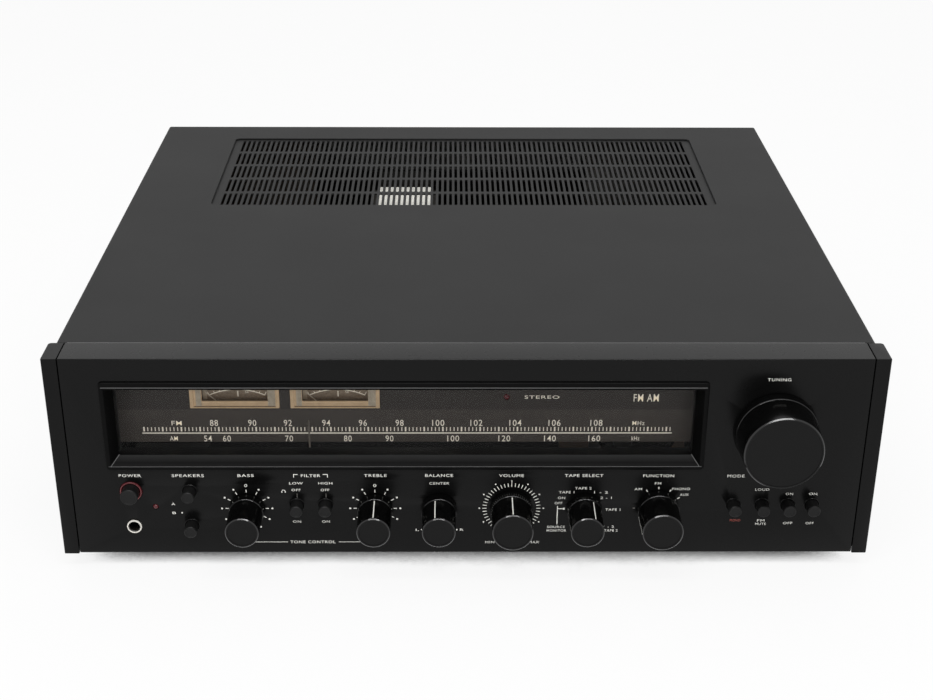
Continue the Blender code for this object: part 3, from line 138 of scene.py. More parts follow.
def add_node(tree, kind, values=None, links=None, **settings):
    """A node with its settings, the values of its sockets and the sockets that feed it."""
    node = tree.nodes.new(kind)
    for key, value in settings.items():
        setattr(node, key, value)
    for key, value in (values or {}).items():
        node.inputs[key].default_value = value
    for key, socket in (links or {}).items():
        tree.links.new(socket, node.inputs[key])
    return node


def start_material(name, sockets):
    made = bpy.data.materials.new(name)
    made.use_nodes = True
    shader = made.node_tree.nodes["Principled BSDF"]
    for key, value in sockets.items():
        shader.inputs[key].default_value = value
    return made, made.node_tree, shader


PATCHES = 60  # uneven patches of gloss, in grains: as large as handling and age leave them


def grained(name, paint, roughness, grain, spread=0.10, uneven=0.06, relief=0.0, specular=0.5, metallic=0.0,
            stretch=(1, 1, 1)):
    """A finish whose colour and relief follow a grain of this size in mm, with uneven gloss."""
    made, tree, shader = start_material(name, {"Specular IOR Level": specular, "Metallic": metallic})
    where = add_node(tree, "ShaderNodeTexCoord")
    mapped = add_node(tree, "ShaderNodeMapping", {"Scale": stretch}, {"Vector": where.outputs["Object"]})
    fine = add_node(tree, "ShaderNodeTexNoise", {"Scale": 1 / (grain * MM), "Detail": 3.0},
                    {"Vector": mapped.outputs["Vector"]})
    broad = add_node(tree, "ShaderNodeTexNoise", {"Scale": 1 / (PATCHES * grain * MM), "Detail": 4.0},
                     {"Vector": where.outputs["Object"]})
    tones = add_node(tree, "ShaderNodeValToRGB", links={"Fac": fine.outputs["Fac"]})
    for element, position, gain in zip(tones.color_ramp.elements, (0.3, 0.7), (1 - spread, 1 + spread)):
        element.position = position
        element.color = (*(min(1, c * gain) for c in as_linear(paint)), 1)
    gloss = add_node(tree, "ShaderNodeMapRange", {
        "From Min": 0.3, "From Max": 0.7, "To Min": max(0.02, roughness - uneven),
        "To Max": min(1, roughness + uneven)}, {"Value": broad.outputs["Fac"]})
    tree.links.new(tones.outputs["Color"], shader.inputs["Base Color"])
    tree.links.new(gloss.outputs["Result"], shader.inputs["Roughness"])
    if relief:
        bump = add_node(tree, "ShaderNodeBump", {"Distance": relief * MM, "Strength": 1.0},
                        {"Height": fine.outputs["Fac"]})
        tree.links.new(bump.outputs["Normal"], shader.inputs["Normal"])
    return made


def striped(name, paint, dark, roughness, pitch, metallic=0.0, relief=0.02, mapping="Object"):
    """A finish with even lines of this pitch in mm across Y, or across V on the piece's own UV."""
    made, tree, shader = start_material(name, {
        "Metallic": metallic, "Roughness": roughness, "Specular IOR Level": 0.14})
    where = add_node(tree, "ShaderNodeTexCoord")
    split = add_node(tree, "ShaderNodeSeparateXYZ", links={"Vector": where.outputs[mapping]})
    turns = math_node(tree, "MULTIPLY", split.outputs["Y"], 2 * math.pi / (pitch * MM))
    wave = math_node(tree, "SINE", turns, 0.0)
    level = add_node(tree, "ShaderNodeMapRange", {"From Min": -1.0, "From Max": 1.0}, {"Value": wave})
    tones = add_node(tree, "ShaderNodeMix", {"A": (*as_linear(dark), 1), "B": (*as_linear(paint), 1)},
                     {"Factor": level.outputs["Result"]}, data_type="RGBA")
    bump = add_node(tree, "ShaderNodeBump", {"Distance": relief * MM}, {"Height": level.outputs["Result"]})
    tree.links.new(tones.outputs["Result"], shader.inputs["Base Color"])
    tree.links.new(bump.outputs["Normal"], shader.inputs["Normal"])
    return made


def lamp_lens(name, paint, glow, roughness=0.12, grain=0.8):
    """Tinted plastic in front of a weak bulb, with a faint light of its own; on the transformer's tape the same light
    is a painted glow.
    """
    made = grained(name, paint, roughness, grain, spread=0.12)
    shader = made.node_tree.nodes["Principled BSDF"]
    shader.inputs["Emission Color"].default_value = (*as_linear(paint), 1)
    shader.inputs["Emission Strength"].default_value = glow
    return made


# The lower wall's fade to grey below is a painted sheen
FADE = (1.5, 6.0)  # depth in mm behind the panel where the lower wall starts and ends its fade


def splayed_wall():
    """The window's lower wall: satin black with a painted sheen that fades to grey towards the dial."""
    made = grained("splayed_wall", "080808", 0.35, 0.4, spread=0.12, relief=0.004, specular=0.06)
    tree = made.node_tree
    shader = tree.nodes["Principled BSDF"]
    where = add_node(tree, "ShaderNodeTexCoord")
    split = add_node(tree, "ShaderNodeSeparateXYZ", links={"Vector": where.outputs["Object"]})
    fade = add_node(tree, "ShaderNodeMapRange",
                    {"From Min": FRONT + FADE[0] * MM, "From Max": FRONT + FADE[1] * MM},
                    {"Value": split.outputs["Y"]})
    black = shader.inputs["Base Color"].links[0].from_socket
    grey = add_node(tree, "ShaderNodeMix", {"B": (*linear("2e2e2e"), 1)},
                    {"Factor": fade.outputs["Result"], "A": black}, data_type="RGBA")
    tree.links.new(grey.outputs["Result"], shader.inputs["Base Color"])
    return made


def clear_lens():
    """Clear acrylic sheet 2 mm thick: nearly invisible, with a faint haze and a mirror sheen."""
    made = grained("clear_acrylic", "101010", 0.05, 6.0, spread=0.3, uneven=0.03)
    made.node_tree.nodes["Principled BSDF"].inputs["Alpha"].default_value = 0.10
    return made


class RECEIVER_OT_finishes(bpy.types.Operator):
    """Makes every finish that the pieces take, named for the real finish or for the light or shade that it paints"""
    bl_idname = "receiver.finishes"
    bl_label = "Finishes"

    def execute(self, context):
        c = context.scene.receiver_colours
        # Steel sprayed with a fine-textured enamel and baked: even, dull, with a fine orange peel
        grained("textured_enamel", c.cover, 0.60, 0.9, spread=0.07, uneven=0.015, relief=0.03, specular=0.14)
        # Black anodised aluminium, etched matt first: deep black with a silky sheen
        grained("black_anodising", c.panel, 0.25, 0.35, spread=0.12, relief=0.004, specular=0.14)
        # The same anodising on the panel's top, as a lighter lit copy: the light from above is painted into its
        # colour
        grained("anodised_flange", "262626", 0.28, 0.35, spread=0.08, relief=0.004, specular=0.14)
        # Injection-moulded ABS with a light spark texture
        grained("spark_textured_abs", c.caps, 0.32, 0.30, spread=0.15, relief=0.004, specular=0.13)
        # Polished black acrylic and ABS: mirror-like, with faint handling marks
        grained("polished_black_abs", c.gloss, 0.14, 0.8, spread=0.10, uneven=0.05, specular=0.2)
        # Black ABS as it leaves a satin mould
        grained("satin_black_abs", "161616", 0.38, 0.4, spread=0.12, relief=0.008, specular=0.18)
        # The window's moulding: satin black too, but deeper; the hair lines of light along its edges are separate
        # bars of painted highlight
        grained("window_moulding", "080808", 0.35, 0.4, spread=0.12, relief=0.004, specular=0.06)
        # Painted highlight: a grey hair line along the edges of mouldings and the cover's front edge, where light
        # catches them
        grained("rubbed_edge", "6a6a6a", 0.35, 0.5, spread=0.10, specular=0.3)
        # Pad-printed epoxy ink: flat and slightly uneven in cover, with a grey and a faded red one beside it
        grained("pad_printed_ink", c.lettering, 0.6, 0.25, spread=0.05, specular=0.3)
        grained("dull_grey_ink", "6f6d69", 0.6, 0.25, spread=0.06, specular=0.3)
        grained("faded_red_ink", "b05a50", 0.6, 0.25, spread=0.06, specular=0.3)
        # Smoked polycarbonate plate, printed from behind: brownish grey, a little cloudy, and darker at the top
        grained("smoked_dial_plate", c.dial, 0.55, 2.5, spread=0.10, specular=0.3)
        grained("smoked_dial_band", "3b3632", 0.5, 2.5, spread=0.10, specular=0.3)
        # The meters' side blocks: frosted polystyrene, pale and milky
        grained("frosted_polystyrene", "c6b9a4", 0.5, 3.0, spread=0.14, specular=0.4)
        # The meters' printed card, browned in the shade of its frame, and the line of shadow under that frame
        grained("meter_card", "9b8c7a", 0.7, 1.2, spread=0.18, specular=0.2)
        grained("meter_shadow_line", "6e5a48", 0.7, 1.2, spread=0.18, specular=0.2)
        # Zinc-plated steel with a clear passivation: cool grey with a soft spangle
        grained("zinc_plated_steel", "a2a29e", 0.38, 2.2, spread=0.10, uneven=0.1, metallic=1.0)
        # Steel in a dull black that paints shade: the pan, the subframe and rail below the dial, the pointer's foot
        # and the strips at the grille's sides, which show only as shade
        grained("blackened_steel", "121212", 0.6, 1.2, spread=0.15, specular=0.15)
        # Extruded aluminium: drawn lines along its length
        grained("extruded_aluminium", "b4b5b8", 0.36, 0.4, spread=0.08, relief=0.01, metallic=1.0,
                stretch=(1, 1, 0.05))
        # Nickel plate over brass: bright and warm
        grained("nickel_plate", "cfccc2", 0.22, 0.8, spread=0.05, metallic=1.0)
        # Off-white moulded nylon of the socket's nut
        grained("ivory_nylon", "efebe2", 0.35, 0.8, spread=0.04)
        # Phenolic paper board: tan with fibre mottling
        grained("phenolic_board", "8a6236", 0.55, 0.7, spread=0.2, relief=0.01)
        # Moulded rubber foot
        grained("moulded_rubber", "151515", 0.85, 0.4, spread=0.2, relief=0.02)
        # Sintered ferrite rod in a varnished sleeve
        grained("sintered_ferrite", "2f2b2a", 0.75, 0.25, spread=0.3, relief=0.03)
        # Phenolic moulding of the terminal strips
        grained("phenolic_moulding", "17130f", 0.42, 0.6, spread=0.2, relief=0.008)
        # Coloured nylon of the terminals and jacks: plain and slightly glossy
        grained("red_insulator", "8e1a1a", 0.4, 0.8, spread=0.08)
        grained("white_insulator", "d8d4ca", 0.4, 0.8, spread=0.05)
        # Pointer seen through the smoked dial: a grey-brown that barely stands out
        grained("smoked_pointer", "6b655c", 0.5, 0.6, spread=0.05, specular=0.3)
        # Lacquered needle
        grained("white_lacquer", "ded6c6", 0.45, 0.6, spread=0.05)
        # Polished chamfer round a knob's face and step: black, and as bright as the lamps it mirrors
        grained("polished_chamfer", "141414", 0.12, 0.5, spread=0.05, specular=0.45)
        # Varnished silicon-steel laminations, drawn at 1 mm where the real ones are half that
        striped("varnished_laminations", "4a4743", "2c2a28", 0.5, 1.0, metallic=0.6)
        # Face turned in a lathe: concentric tool lines, drawn 0.5 mm apart so that they show
        striped("lathe_turned_face", "101010", "0b0b0b", 0.42, 0.5, relief=0.004,
                mapping="UV")
        # Lenses of the lamps: clear red plastic, dark until lit
        lamp_lens("red_lamp_lens", c.lamp, 0.3)
        # The power ring's crest: a pinkish band of painted highlight, with a faint glow
        lamp_lens("lit_ring_crest", "8a5052", 0.1)
        # The meters' frames: warm, yellowed by age and by the bulb behind them
        lamp_lens("yellowed_polystyrene", c.meter, 0.25, 0.45, 4.0)
        # Ink of the dial, lit from behind
        lamp_lens("screen_printed_scale", c.dial_ink, 0.3, 0.55, 0.25)
        # Glass cloth tape round the transformer's winding: white and translucent, with a painted glow that keeps it
        # bright in the dark case
        lamp_lens("winding_tape", "f4f2ea", 0.4, 0.8, 0.9)
        splayed_wall()
        clear_lens()
        return {"FINISHED"}


def finish(name):
    return bpy.data.materials[name]


# Mesh helpers


def place(x, z, depth=0.0):
    """A point of the panel, from millimetres."""
    return Vector((x * MM, FRONT + depth * MM, BASE + z * MM))


def add_box(bm, low, high, index=0):
    """A closed box between two corners, in metres."""
    size = Vector(high) - Vector(low)
    at = Matrix.Translation((Vector(high) + Vector(low)) / 2) @ Matrix.Diagonal((*size, 1))
    made = bmesh.ops.create_cube(bm, size=1, matrix=at)
    for face in {f for v in made["verts"] for f in v.link_faces}:
        face.material_index = index


def lathe(bm, centre, profile, sides, bands=(), axis="Y"):
    """Turns a profile of (radius, height) in mm about an axis through centre.

    The height counts along the axis. bands gives the finish of each band between two points.
    The UV runs round the piece in U and along the profile in V, in metres.
    """
    uv = bm.loops.layers.uv.verify()
    rings, run, travelled = [], [], 0.0
    for k, (radius, height) in enumerate(profile):
        if k:
            travelled += math.dist(profile[k - 1], profile[k]) * MM
        run.append(travelled)
        turns = [0.0] if radius == 0 else [2 * math.pi * i / sides for i in range(sides)]
        ring = []
        for turn in turns:
            a, b = radius * MM * math.sin(turn), radius * MM * math.cos(turn)
            offset = (a, height * MM, b) if axis == "Y" else (a, b, height * MM)
            ring.append(bm.verts.new(centre + Vector(offset)))
        rings.append(ring)
    for k, (near, far) in enumerate(zip(rings, rings[1:])):
        for i in range(sides):
            corners = [(near, i, k), (near, i + 1, k), (far, i + 1, k + 1), (far, i, k + 1)]
            verts = [(ring[j % len(ring)], j / sides, run[level]) for ring, j, level in corners]
            if len(near) == 1:
                verts.pop(1)
            if len(far) == 1:
                verts.pop(-1)
            face = bm.faces.new([v for v, _, _ in verts])
            face.material_index = bands[k] if bands else 0
            for loop, (_, u, v) in zip(face.loops, verts):
                loop[uv].uv = (u, v)


def eased(profile, radius, steps=3):
    """A profile with its inner corners rounded off."""
    points = [profile[0]]
    for before, corner, after in zip(profile, profile[1:], profile[2:]):
        a, b, c = (Vector(p) for p in (before, corner, after))
        reach = min(radius, (a - b).length / 2.2, (c - b).length / 2.2)
        start, end = b + (a - b).normalized() * reach, b + (c - b).normalized() * reach
        for i in range(steps + 1):
            t = i / steps
            points.append(tuple((1 - t) ** 2 * start + 2 * t * (1 - t) * b + t * t * end))
    return points + [profile[-1]]


def make_piece(name, source, finishes, body, replaced=(), angle=40):
    """An object from a bmesh, riding on its body, with its finishes in slot order."""
    mesh = bpy.data.meshes.new(name)
    bmesh.ops.recalc_face_normals(source, faces=source.faces)
    source.to_mesh(mesh)
    source.free()
    for label in finishes:
        mesh.materials.append(finish(label))
    mesh.shade_smooth()
    mesh.set_sharp_from_angle(angle=math.radians(angle))
    piece = bpy.data.objects.new(name, mesh)
    bpy.context.scene.collection.objects.link(piece)
    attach(piece, body)
    if replaced:
        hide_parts(*replaced)
    return piece


def body_of(node):
    return frame["nodes"][node]["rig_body"]


def turned_box(node):
    """A turned node's centre on the panel's plane, its radius, and its front and back in mm behind the panel."""
    low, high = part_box(node)
    centre = Vector(((low.x + high.x) / 2, FRONT, (low.z + high.z) / 2))
    return centre, (high.x - low.x) / MM / 2, (low.y - FRONT) / MM, (high.y - FRONT) / MM


def remove(*objects):
    """Takes shapes out again once their copies are made."""
    for item in objects:
        bpy.data.objects.remove(item)


def close_seams(bm):
    bmesh.ops.remove_doubles(bm, verts=bm.verts, dist=1e-7)


def refine(node, finishes, width=None, segments=2, angle=35, cuts=(), choose=None, smooth=25):
    """A copy of a CAD node with its edges eased, which stands for it. It is cut at these planes
    of constant X, and choose gives the finish index of each face."""
    width = width or bpy.context.scene.receiver_sizes.edge_radius
    bm = bmesh.new()
    bm.from_mesh(frame["nodes"][node].data)
    bmesh.ops.remove_doubles(bm, verts=bm.verts, dist=1e-6)
    bmesh.ops.dissolve_limit(bm, angle_limit=math.radians(1), verts=bm.verts, edges=bm.edges)
    sharp = [e for e in bm.edges if e.is_manifold and e.calc_face_angle() > math.radians(angle)]
    bmesh.ops.bevel(bm, geom=sharp, offset=width, segments=segments, profile=0.5,
                    affect="EDGES", clamp_overlap=True)
    for x in cuts:
        bmesh.ops.bisect_plane(bm, geom=[*bm.verts, *bm.edges, *bm.faces], dist=1e-7,
                               plane_co=(x, 0, 0), plane_no=(1, 0, 0))
    if choose:
        bm.normal_update()
        for face in bm.faces:
            face.material_index = choose(face)
    return make_piece(f"{node}_eased", bm, finishes, body_of(node), [node], angle=smooth)


def grow(tree, values):
    """The plain mesh that a Geometry Nodes tree makes from these inputs."""
    holder = bpy.data.objects.new(tree.name, bpy.data.meshes.new(tree.name))
    bpy.context.scene.collection.objects.link(holder)
    modifier = holder.modifiers.new(tree.name, "NODES")
    modifier.node_group = tree
    sockets = {item.name: item.identifier for item in tree.interface.items_tree if item.in_out == "INPUT"}
    for key, value in values.items():
        modifier[sockets[key]] = value
    graph = bpy.context.evaluated_depsgraph_get()
    mesh = bpy.data.meshes.new_from_object(holder.evaluated_get(graph), preserve_all_data_layers=True,
                                           depsgraph=graph)
    holder.modifiers.remove(modifier)
    bpy.data.objects.remove(holder)
    return mesh


def shape_object(name, bm):
    """A hidden shape that a tree copies. It is removed once the copies are made."""
    mesh = bpy.data.meshes.new(name)
    bmesh.ops.recalc_face_normals(bm, faces=bm.faces)
    bm.to_mesh(mesh)
    bm.free()
    shape = bpy.data.objects.new(name, mesh)
    bpy.context.scene.collection.objects.link(shape)
    return shape


def start_tree(name, inputs):
    """A Geometry Nodes tree with named inputs, its input and output nodes and its copied shape."""
    tree = bpy.data.node_groups.new(name, "GeometryNodeTree")
    for label, kind in inputs:
        tree.interface.new_socket(label, in_out="INPUT", socket_type=f"NodeSocket{kind}")
    tree.interface.new_socket("Geometry", in_out="OUTPUT", socket_type="NodeSocketGeometry")
    given = add_node(tree, "NodeGroupInput").outputs
    shape = add_node(tree, "GeometryNodeObjectInfo", links={"Object": given["Shape"]})
    return tree, given, shape.outputs["Geometry"]


def end_tree(tree, given, instances, merge=False):
    real = add_node(tree, "GeometryNodeRealizeInstances", links={"Geometry": instances})
    if merge:
        real = add_node(tree, "GeometryNodeMergeByDistance", {"Distance": 0.00001},
                        {"Geometry": real.outputs["Geometry"]})
    painted = add_node(tree, "GeometryNodeSetMaterial",
                       links={"Geometry": real.outputs["Geometry"], "Material": given["Finish"]})
    add_node(tree, "NodeGroupOutput", links={"Geometry": painted.outputs["Geometry"]})
    return tree


def math_node(tree, operation, a, b):
    """A maths node whose two inputs are sockets or numbers."""
    node = add_node(tree, "ShaderNodeMath", operation=operation)
    for i, value in enumerate((a, b)):
        if isinstance(value, (int, float)):
            node.inputs[i].default_value = value
        else:
            tree.links.new(value, node.inputs[i])
    return node.outputs[0]


def grid_tree():
    """Copies of one shape side by side on a flat grid, joined where they touch."""
    tree, given, shape = start_tree("slot_grid", [
        ("Shape", "Object"), ("Columns", "Int"), ("Rows", "Int"), ("Column pitch", "Float"),
        ("Row pitch", "Float"), ("Finish", "Material")])
    spans = [math_node(tree, "MULTIPLY", math_node(tree, "SUBTRACT", given[count], 1.0), given[pitch])
             for count, pitch in (("Columns", "Column pitch"), ("Rows", "Row pitch"))]
    grid = add_node(tree, "GeometryNodeMeshGrid", links={
        "Size X": spans[0], "Size Y": spans[1], "Vertices X": given["Columns"], "Vertices Y": given["Rows"]})
    copies = add_node(tree, "GeometryNodeInstanceOnPoints",
                      links={"Points": grid.outputs["Mesh"], "Instance": shape})
    return end_tree(tree, given, copies.outputs["Instances"], merge=True)


def ring_tree():
    """Copies of one shape round a control, clockwise from its first angle."""
    tree, given, shape = start_tree("tick_ring", [
        ("Shape", "Object"), ("Count", "Int"), ("Radius", "Float"), ("First angle", "Float"),
        ("Step", "Float"), ("Finish", "Material")])
    line = add_node(tree, "GeometryNodeMeshLine", links={"Count": given["Count"]})
    index = add_node(tree, "GeometryNodeInputIndex").outputs["Index"]
    angle = math_node(tree, "ADD", given["First angle"], math_node(tree, "MULTIPLY", index, given["Step"]))
    sine = math_node(tree, "SINE", angle, 0.0)
    cosine = math_node(tree, "COSINE", angle, 0.0)
    at = add_node(tree, "ShaderNodeCombineXYZ", links={
        "X": math_node(tree, "MULTIPLY", sine, given["Radius"]),
        "Z": math_node(tree, "MULTIPLY", cosine, given["Radius"])})
    placed = add_node(tree, "GeometryNodeSetPosition",
                      links={"Geometry": line.outputs["Mesh"], "Position": at.outputs["Vector"]})
    turn = add_node(tree, "ShaderNodeCombineXYZ", links={"Y": angle})
    copies = add_node(tree, "GeometryNodeInstanceOnPoints", links={
        "Points": placed.outputs["Geometry"], "Instance": shape, "Rotation": turn.outputs["Vector"]})
    return end_tree(tree, given, copies.outputs["Instances"])


def scale_tree():
    """A row of ticks with every few taller and wider than the rest."""
    tree, given, shape = start_tree("dial_ticks", [
        ("Shape", "Object"), ("Count", "Int"), ("Pitch", "Float"), ("Major every", "Int"),
        ("Major growth", "Vector"), ("Finish", "Material")])
    offset = add_node(tree, "ShaderNodeCombineXYZ", links={"X": given["Pitch"]})
    line = add_node(tree, "GeometryNodeMeshLine",
                    links={"Count": given["Count"], "Offset": offset.outputs["Vector"]})
    index = add_node(tree, "GeometryNodeInputIndex").outputs["Index"]
    rest = math_node(tree, "MODULO", index, given["Major every"])
    major = math_node(tree, "LESS_THAN", rest, 0.5)
    growth = add_node(tree, "ShaderNodeMix", {"A": (1, 1, 1)},
                      {"Factor": major, "B": given["Major growth"]}, data_type="VECTOR")
    copies = add_node(tree, "GeometryNodeInstanceOnPoints", links={
        "Points": line.outputs["Mesh"], "Instance": shape, "Scale": growth.outputs["Result"]})
    return end_tree(tree, given, copies.outputs["Instances"])


def points_tree():
    """One shape on each vertex of a mesh, turned the same way."""
    tree, given, shape = start_tree("fasteners", [
        ("Shape", "Object"), ("Points", "Object"), ("Turn", "Vector"), ("Finish", "Material")])
    points = add_node(tree, "GeometryNodeObjectInfo", links={"Object": given["Points"]})
    copies = add_node(tree, "GeometryNodeInstanceOnPoints", links={
        "Points": points.outputs["Geometry"], "Instance": shape, "Rotation": given["Turn"]})
    return end_tree(tree, given, copies.outputs["Instances"])


def tree_named(name, maker):
    return bpy.data.node_groups.get(name) or maker()


def gather(bm, mesh, offset=(0, 0, 0), index=0):
    """Adds a mesh to a bmesh, moved and with one finish index."""
    mesh.transform(Matrix.Translation(offset))
    before = len(bm.faces)
    bm.from_mesh(mesh)
    bm.faces.ensure_lookup_table()
    for face in bm.faces[before:]:
        face.material_index = index
    bpy.data.meshes.remove(mesh)


# Lettering


def letter_mesh(words):
    """The words in the built-in font, from their base line up, as a solid one unit thick."""
    curve = bpy.data.curves.new("words", "FONT")
    curve.body = words
    curve.resolution_u = 3
    curve.extrude = 0.5
    curve.offset = 0.002
    curve.space_character = 1.12
    holder = bpy.data.objects.new("words", curve)
    bpy.context.scene.collection.objects.link(holder)
    graph = bpy.context.evaluated_depsgraph_get()
    mesh = bpy.data.meshes.new_from_object(holder.evaluated_get(graph), depsgraph=graph)
    bpy.data.objects.remove(holder)
    bpy.data.curves.remove(curve)
    return mesh


def capital_height():
    mesh = letter_mesh("H")
    high = max(v.co.y for v in mesh.vertices)
    bpy.data.meshes.remove(mesh)
    return high


def add_words(bm, words, x, z, height, width, depth, cap, index=0):
    """Printed words centred on a point of the panel, in mm, at this height and width."""
    ink = bpy.context.scene.receiver_sizes.ink_height
    mesh = letter_mesh(words)
    xs = [v.co.x for v in mesh.vertices]
    low, high = min(xs), max(xs)
    across, up = width * MM / (high - low), height * MM / cap
    centre = place(x, z - height / 2, depth)
    for v in mesh.vertices:
        v.co = centre + Vector(((v.co.x - (low + high) / 2) * across,
                                -v.co.z * 2 * ink, v.co.y * up))
    gather(bm, mesh, index=index)


def add_bar(bm, x0, z0, x1, z1, depth, index=0):
    """A printed bar between two corners of the panel, in mm."""
    ink = bpy.context.scene.receiver_sizes.ink_height
    low, high = place(x0, z0, depth), place(x1, z1, depth)
    add_box(bm, low - Vector((0, ink, 0)), high + Vector((0, ink, 0)), index)


def bar_shape(width, height):
    """A printed bar about the origin, for a tree to copy."""
    ink = bpy.context.scene.receiver_sizes.ink_height
    bm = bmesh.new()
    half = Vector((width * MM / 2, ink, height * MM / 2))
    add_box(bm, -half, half)
    return shape_object("bar", bm)


def dot_shape(radius):
    """A printed dot about the origin, for a tree to copy."""
    ink = bpy.context.scene.receiver_sizes.ink_height / MM
    bm = bmesh.new()
    lathe(bm, Vector((0, 0, 0)), [(0, -ink), (radius, -ink), (radius, ink), (0, ink)], 12)
    return shape_object("dot", bm)


# Panel lettering: words, X, Z and width in mm
HEADINGS = [
    ("POWER", -202.5, 55.0, 13.3), ("SPEAKERS", -167.7, 55.0, 19.3), ("BASS", -133.0, 55.0, 9.8),
    ("FILTER", -93.9, 54.9, 11.7), ("TREBLE", -55.0, 55.0, 13.7), ("BALANCE", -16.6, 55.0, 16.8),
    ("VOLUME", 27.0, 54.9, 14.9), ("TAPE SELECT", 70.8, 54.9, 23.3), ("FUNCTION", 115.8, 54.7, 18.6),
    ("MODE", 162.5, 54.5, 10.4), ("TUNING", 182.8, 119.7, 13.8), ("TONE CONTROL", -94.3, 7.8, 27.7),
]
SMALL_WORDS = [
    ("LOW", -102.9, 49.6, 8.2), ("HIGH", -85.3, 49.6, 8.5), ("OFF", -103.1, 44.9, 5.5), ("OFF", -85.6, 44.9, 5.2),
    ("ON", -103.5, 22.5, 5.0), ("ON", -85.8, 22.5, 4.8), ("CENTER", -16.5, 49.5, 12.0),
    ("L", -30.0, 16.5, 2.2), ("R", -2.9, 16.5, 2.3), ("MIN", 14.4, 7.5, 5.6), ("MAX", 41.6, 7.5, 6.4),
    ("A", -177.9, 35.1, 2.3), ("B", -177.8, 28.8, 2.2), ("AM", 103.9, 45.4, 4.6), ("FM", 115.7, 49.4, 3.8),
    ("PHONO", 129.9, 45.5, 10.9), ("AUX", 132.1, 41.4, 5.4), ("LOUD", 179.2, 45.0, 8.6), ("ON", 196.0, 41.9, 4.4),
    ("ON", 210.4, 41.9, 4.8), ("FM", 180.2, 23.0, 4.6), ("MUTE", 180.2, 20.6, 6.6), ("OFF", 196.8, 21.1, 5.7),
    ("OFF", 210.3, 21.1, 5.0), ("OFF", 55.9, 35.5, 4.6), ("ON", 57.6, 39.2, 4.4), ("TAPE 1", 60.6, 43.2, 9.3),
    ("TAPE 2", 70.6, 46.0, 10.0), ("1 - 2", 81.5, 43.1, 8.4), ("2 - 1", 84.7, 39.2, 6.9),
    ("TAPE 1", 89.2, 30.9, 9.1), ("1 - 2", 87.2, 18.6, 6.4), ("TAPE 2", 88.6, 15.9, 8.2),
    ("SOURCE", 54.9, 18.5, 11.0), ("MONITOR", 55.2, 15.9, 12.0),
]
HEADING_HEIGHT, SMALL_HEIGHT = 1.85, 1.6
# The dial's numbers, and X of each in mm
FM_NUMBERS = [("88", -153.3), ("90", -130.1), ("92", -108.5), ("94", -85.2), ("96", -63.0), ("98", -40.7),
              ("100", -17.2), ("102", 6.0), ("104", 29.7), ("106", 53.5), ("108", 79.0)]
AM_NUMBERS = [("54", -157.6), ("60", -146.1), ("70", -108.2), ("80", -72.4), ("90", -47.0), ("100", -8.1),
              ("120", 23.1), ("140", 51.0), ("160", 78.1)]
# The controls' centres, in mm
KNOB_Z = 31.9
TONE_KNOBS_X = (-133.3, -55.5)
VOLUME_X = 27.3
FUNCTION_X = 116.4
TICK_RINGS = [  # shape, X of the control, count, radius in mm, first angle and step in degrees
    *[(shape, x, *ring) for x in TONE_KNOBS_X for shape, *ring in (
        ("dot", 5, 15.25, -150, 30), ("dot", 5, 15.25, 30, 30), ("dash", 11, 12.2, -150, 30))],
    ("small_dot", VOLUME_X, 5, 19.5, -150, 30), ("small_dot", VOLUME_X, 5, 19.5, 30, 30),
    ("long_dash", VOLUME_X, 41, 16.4, -150, 7.5), ("long_dash", VOLUME_X, 1, 18.5, 0, 0),
    ("wide_dash", FUNCTION_X, 4, 14.2, -30, 30),
]
LONE_DOTS = [(-27.4, 16.6), (-5.9, 16.6), (-173.0, 28.9)]  # X and Z in mm
BARS = [  # X and Z of two corners in mm, and 0 for white ink or 1 for grey
    (-131.0, 7.65, -109.7, 7.97, 0), (-78.4, 7.65, -57.0, 7.97, 0),  # beside the words TONE CONTROL
    (-104.4, 55.5, -101.6, 55.95, 0), (-104.4, 53.7, -103.95, 55.5, 0),  # the bracket over the filters
    (-86.6, 55.5, -83.6, 55.95, 0), (-84.05, 53.7, -83.6, 55.5, 0),
    (-102.8, 39.6, -102.4, 42.4, 1), (-85.3, 39.6, -84.9, 42.4, 1),  # over the filters' buttons
    (55.1, 20.4, 55.6, 33.4, 0), (55.6, 31.3, 58.8, 31.8, 0), (58.8, 30.9, 59.8, 32.2, 0),  # the tape selector's sign
    (FUNCTION_X - 15.2, KNOB_Z - 0.3, FUNCTION_X - 13.8, KNOB_Z + 0.3, 1),  # the function selector's sixth place
]
PHONES_SIGN = (-110.7, 43.2)


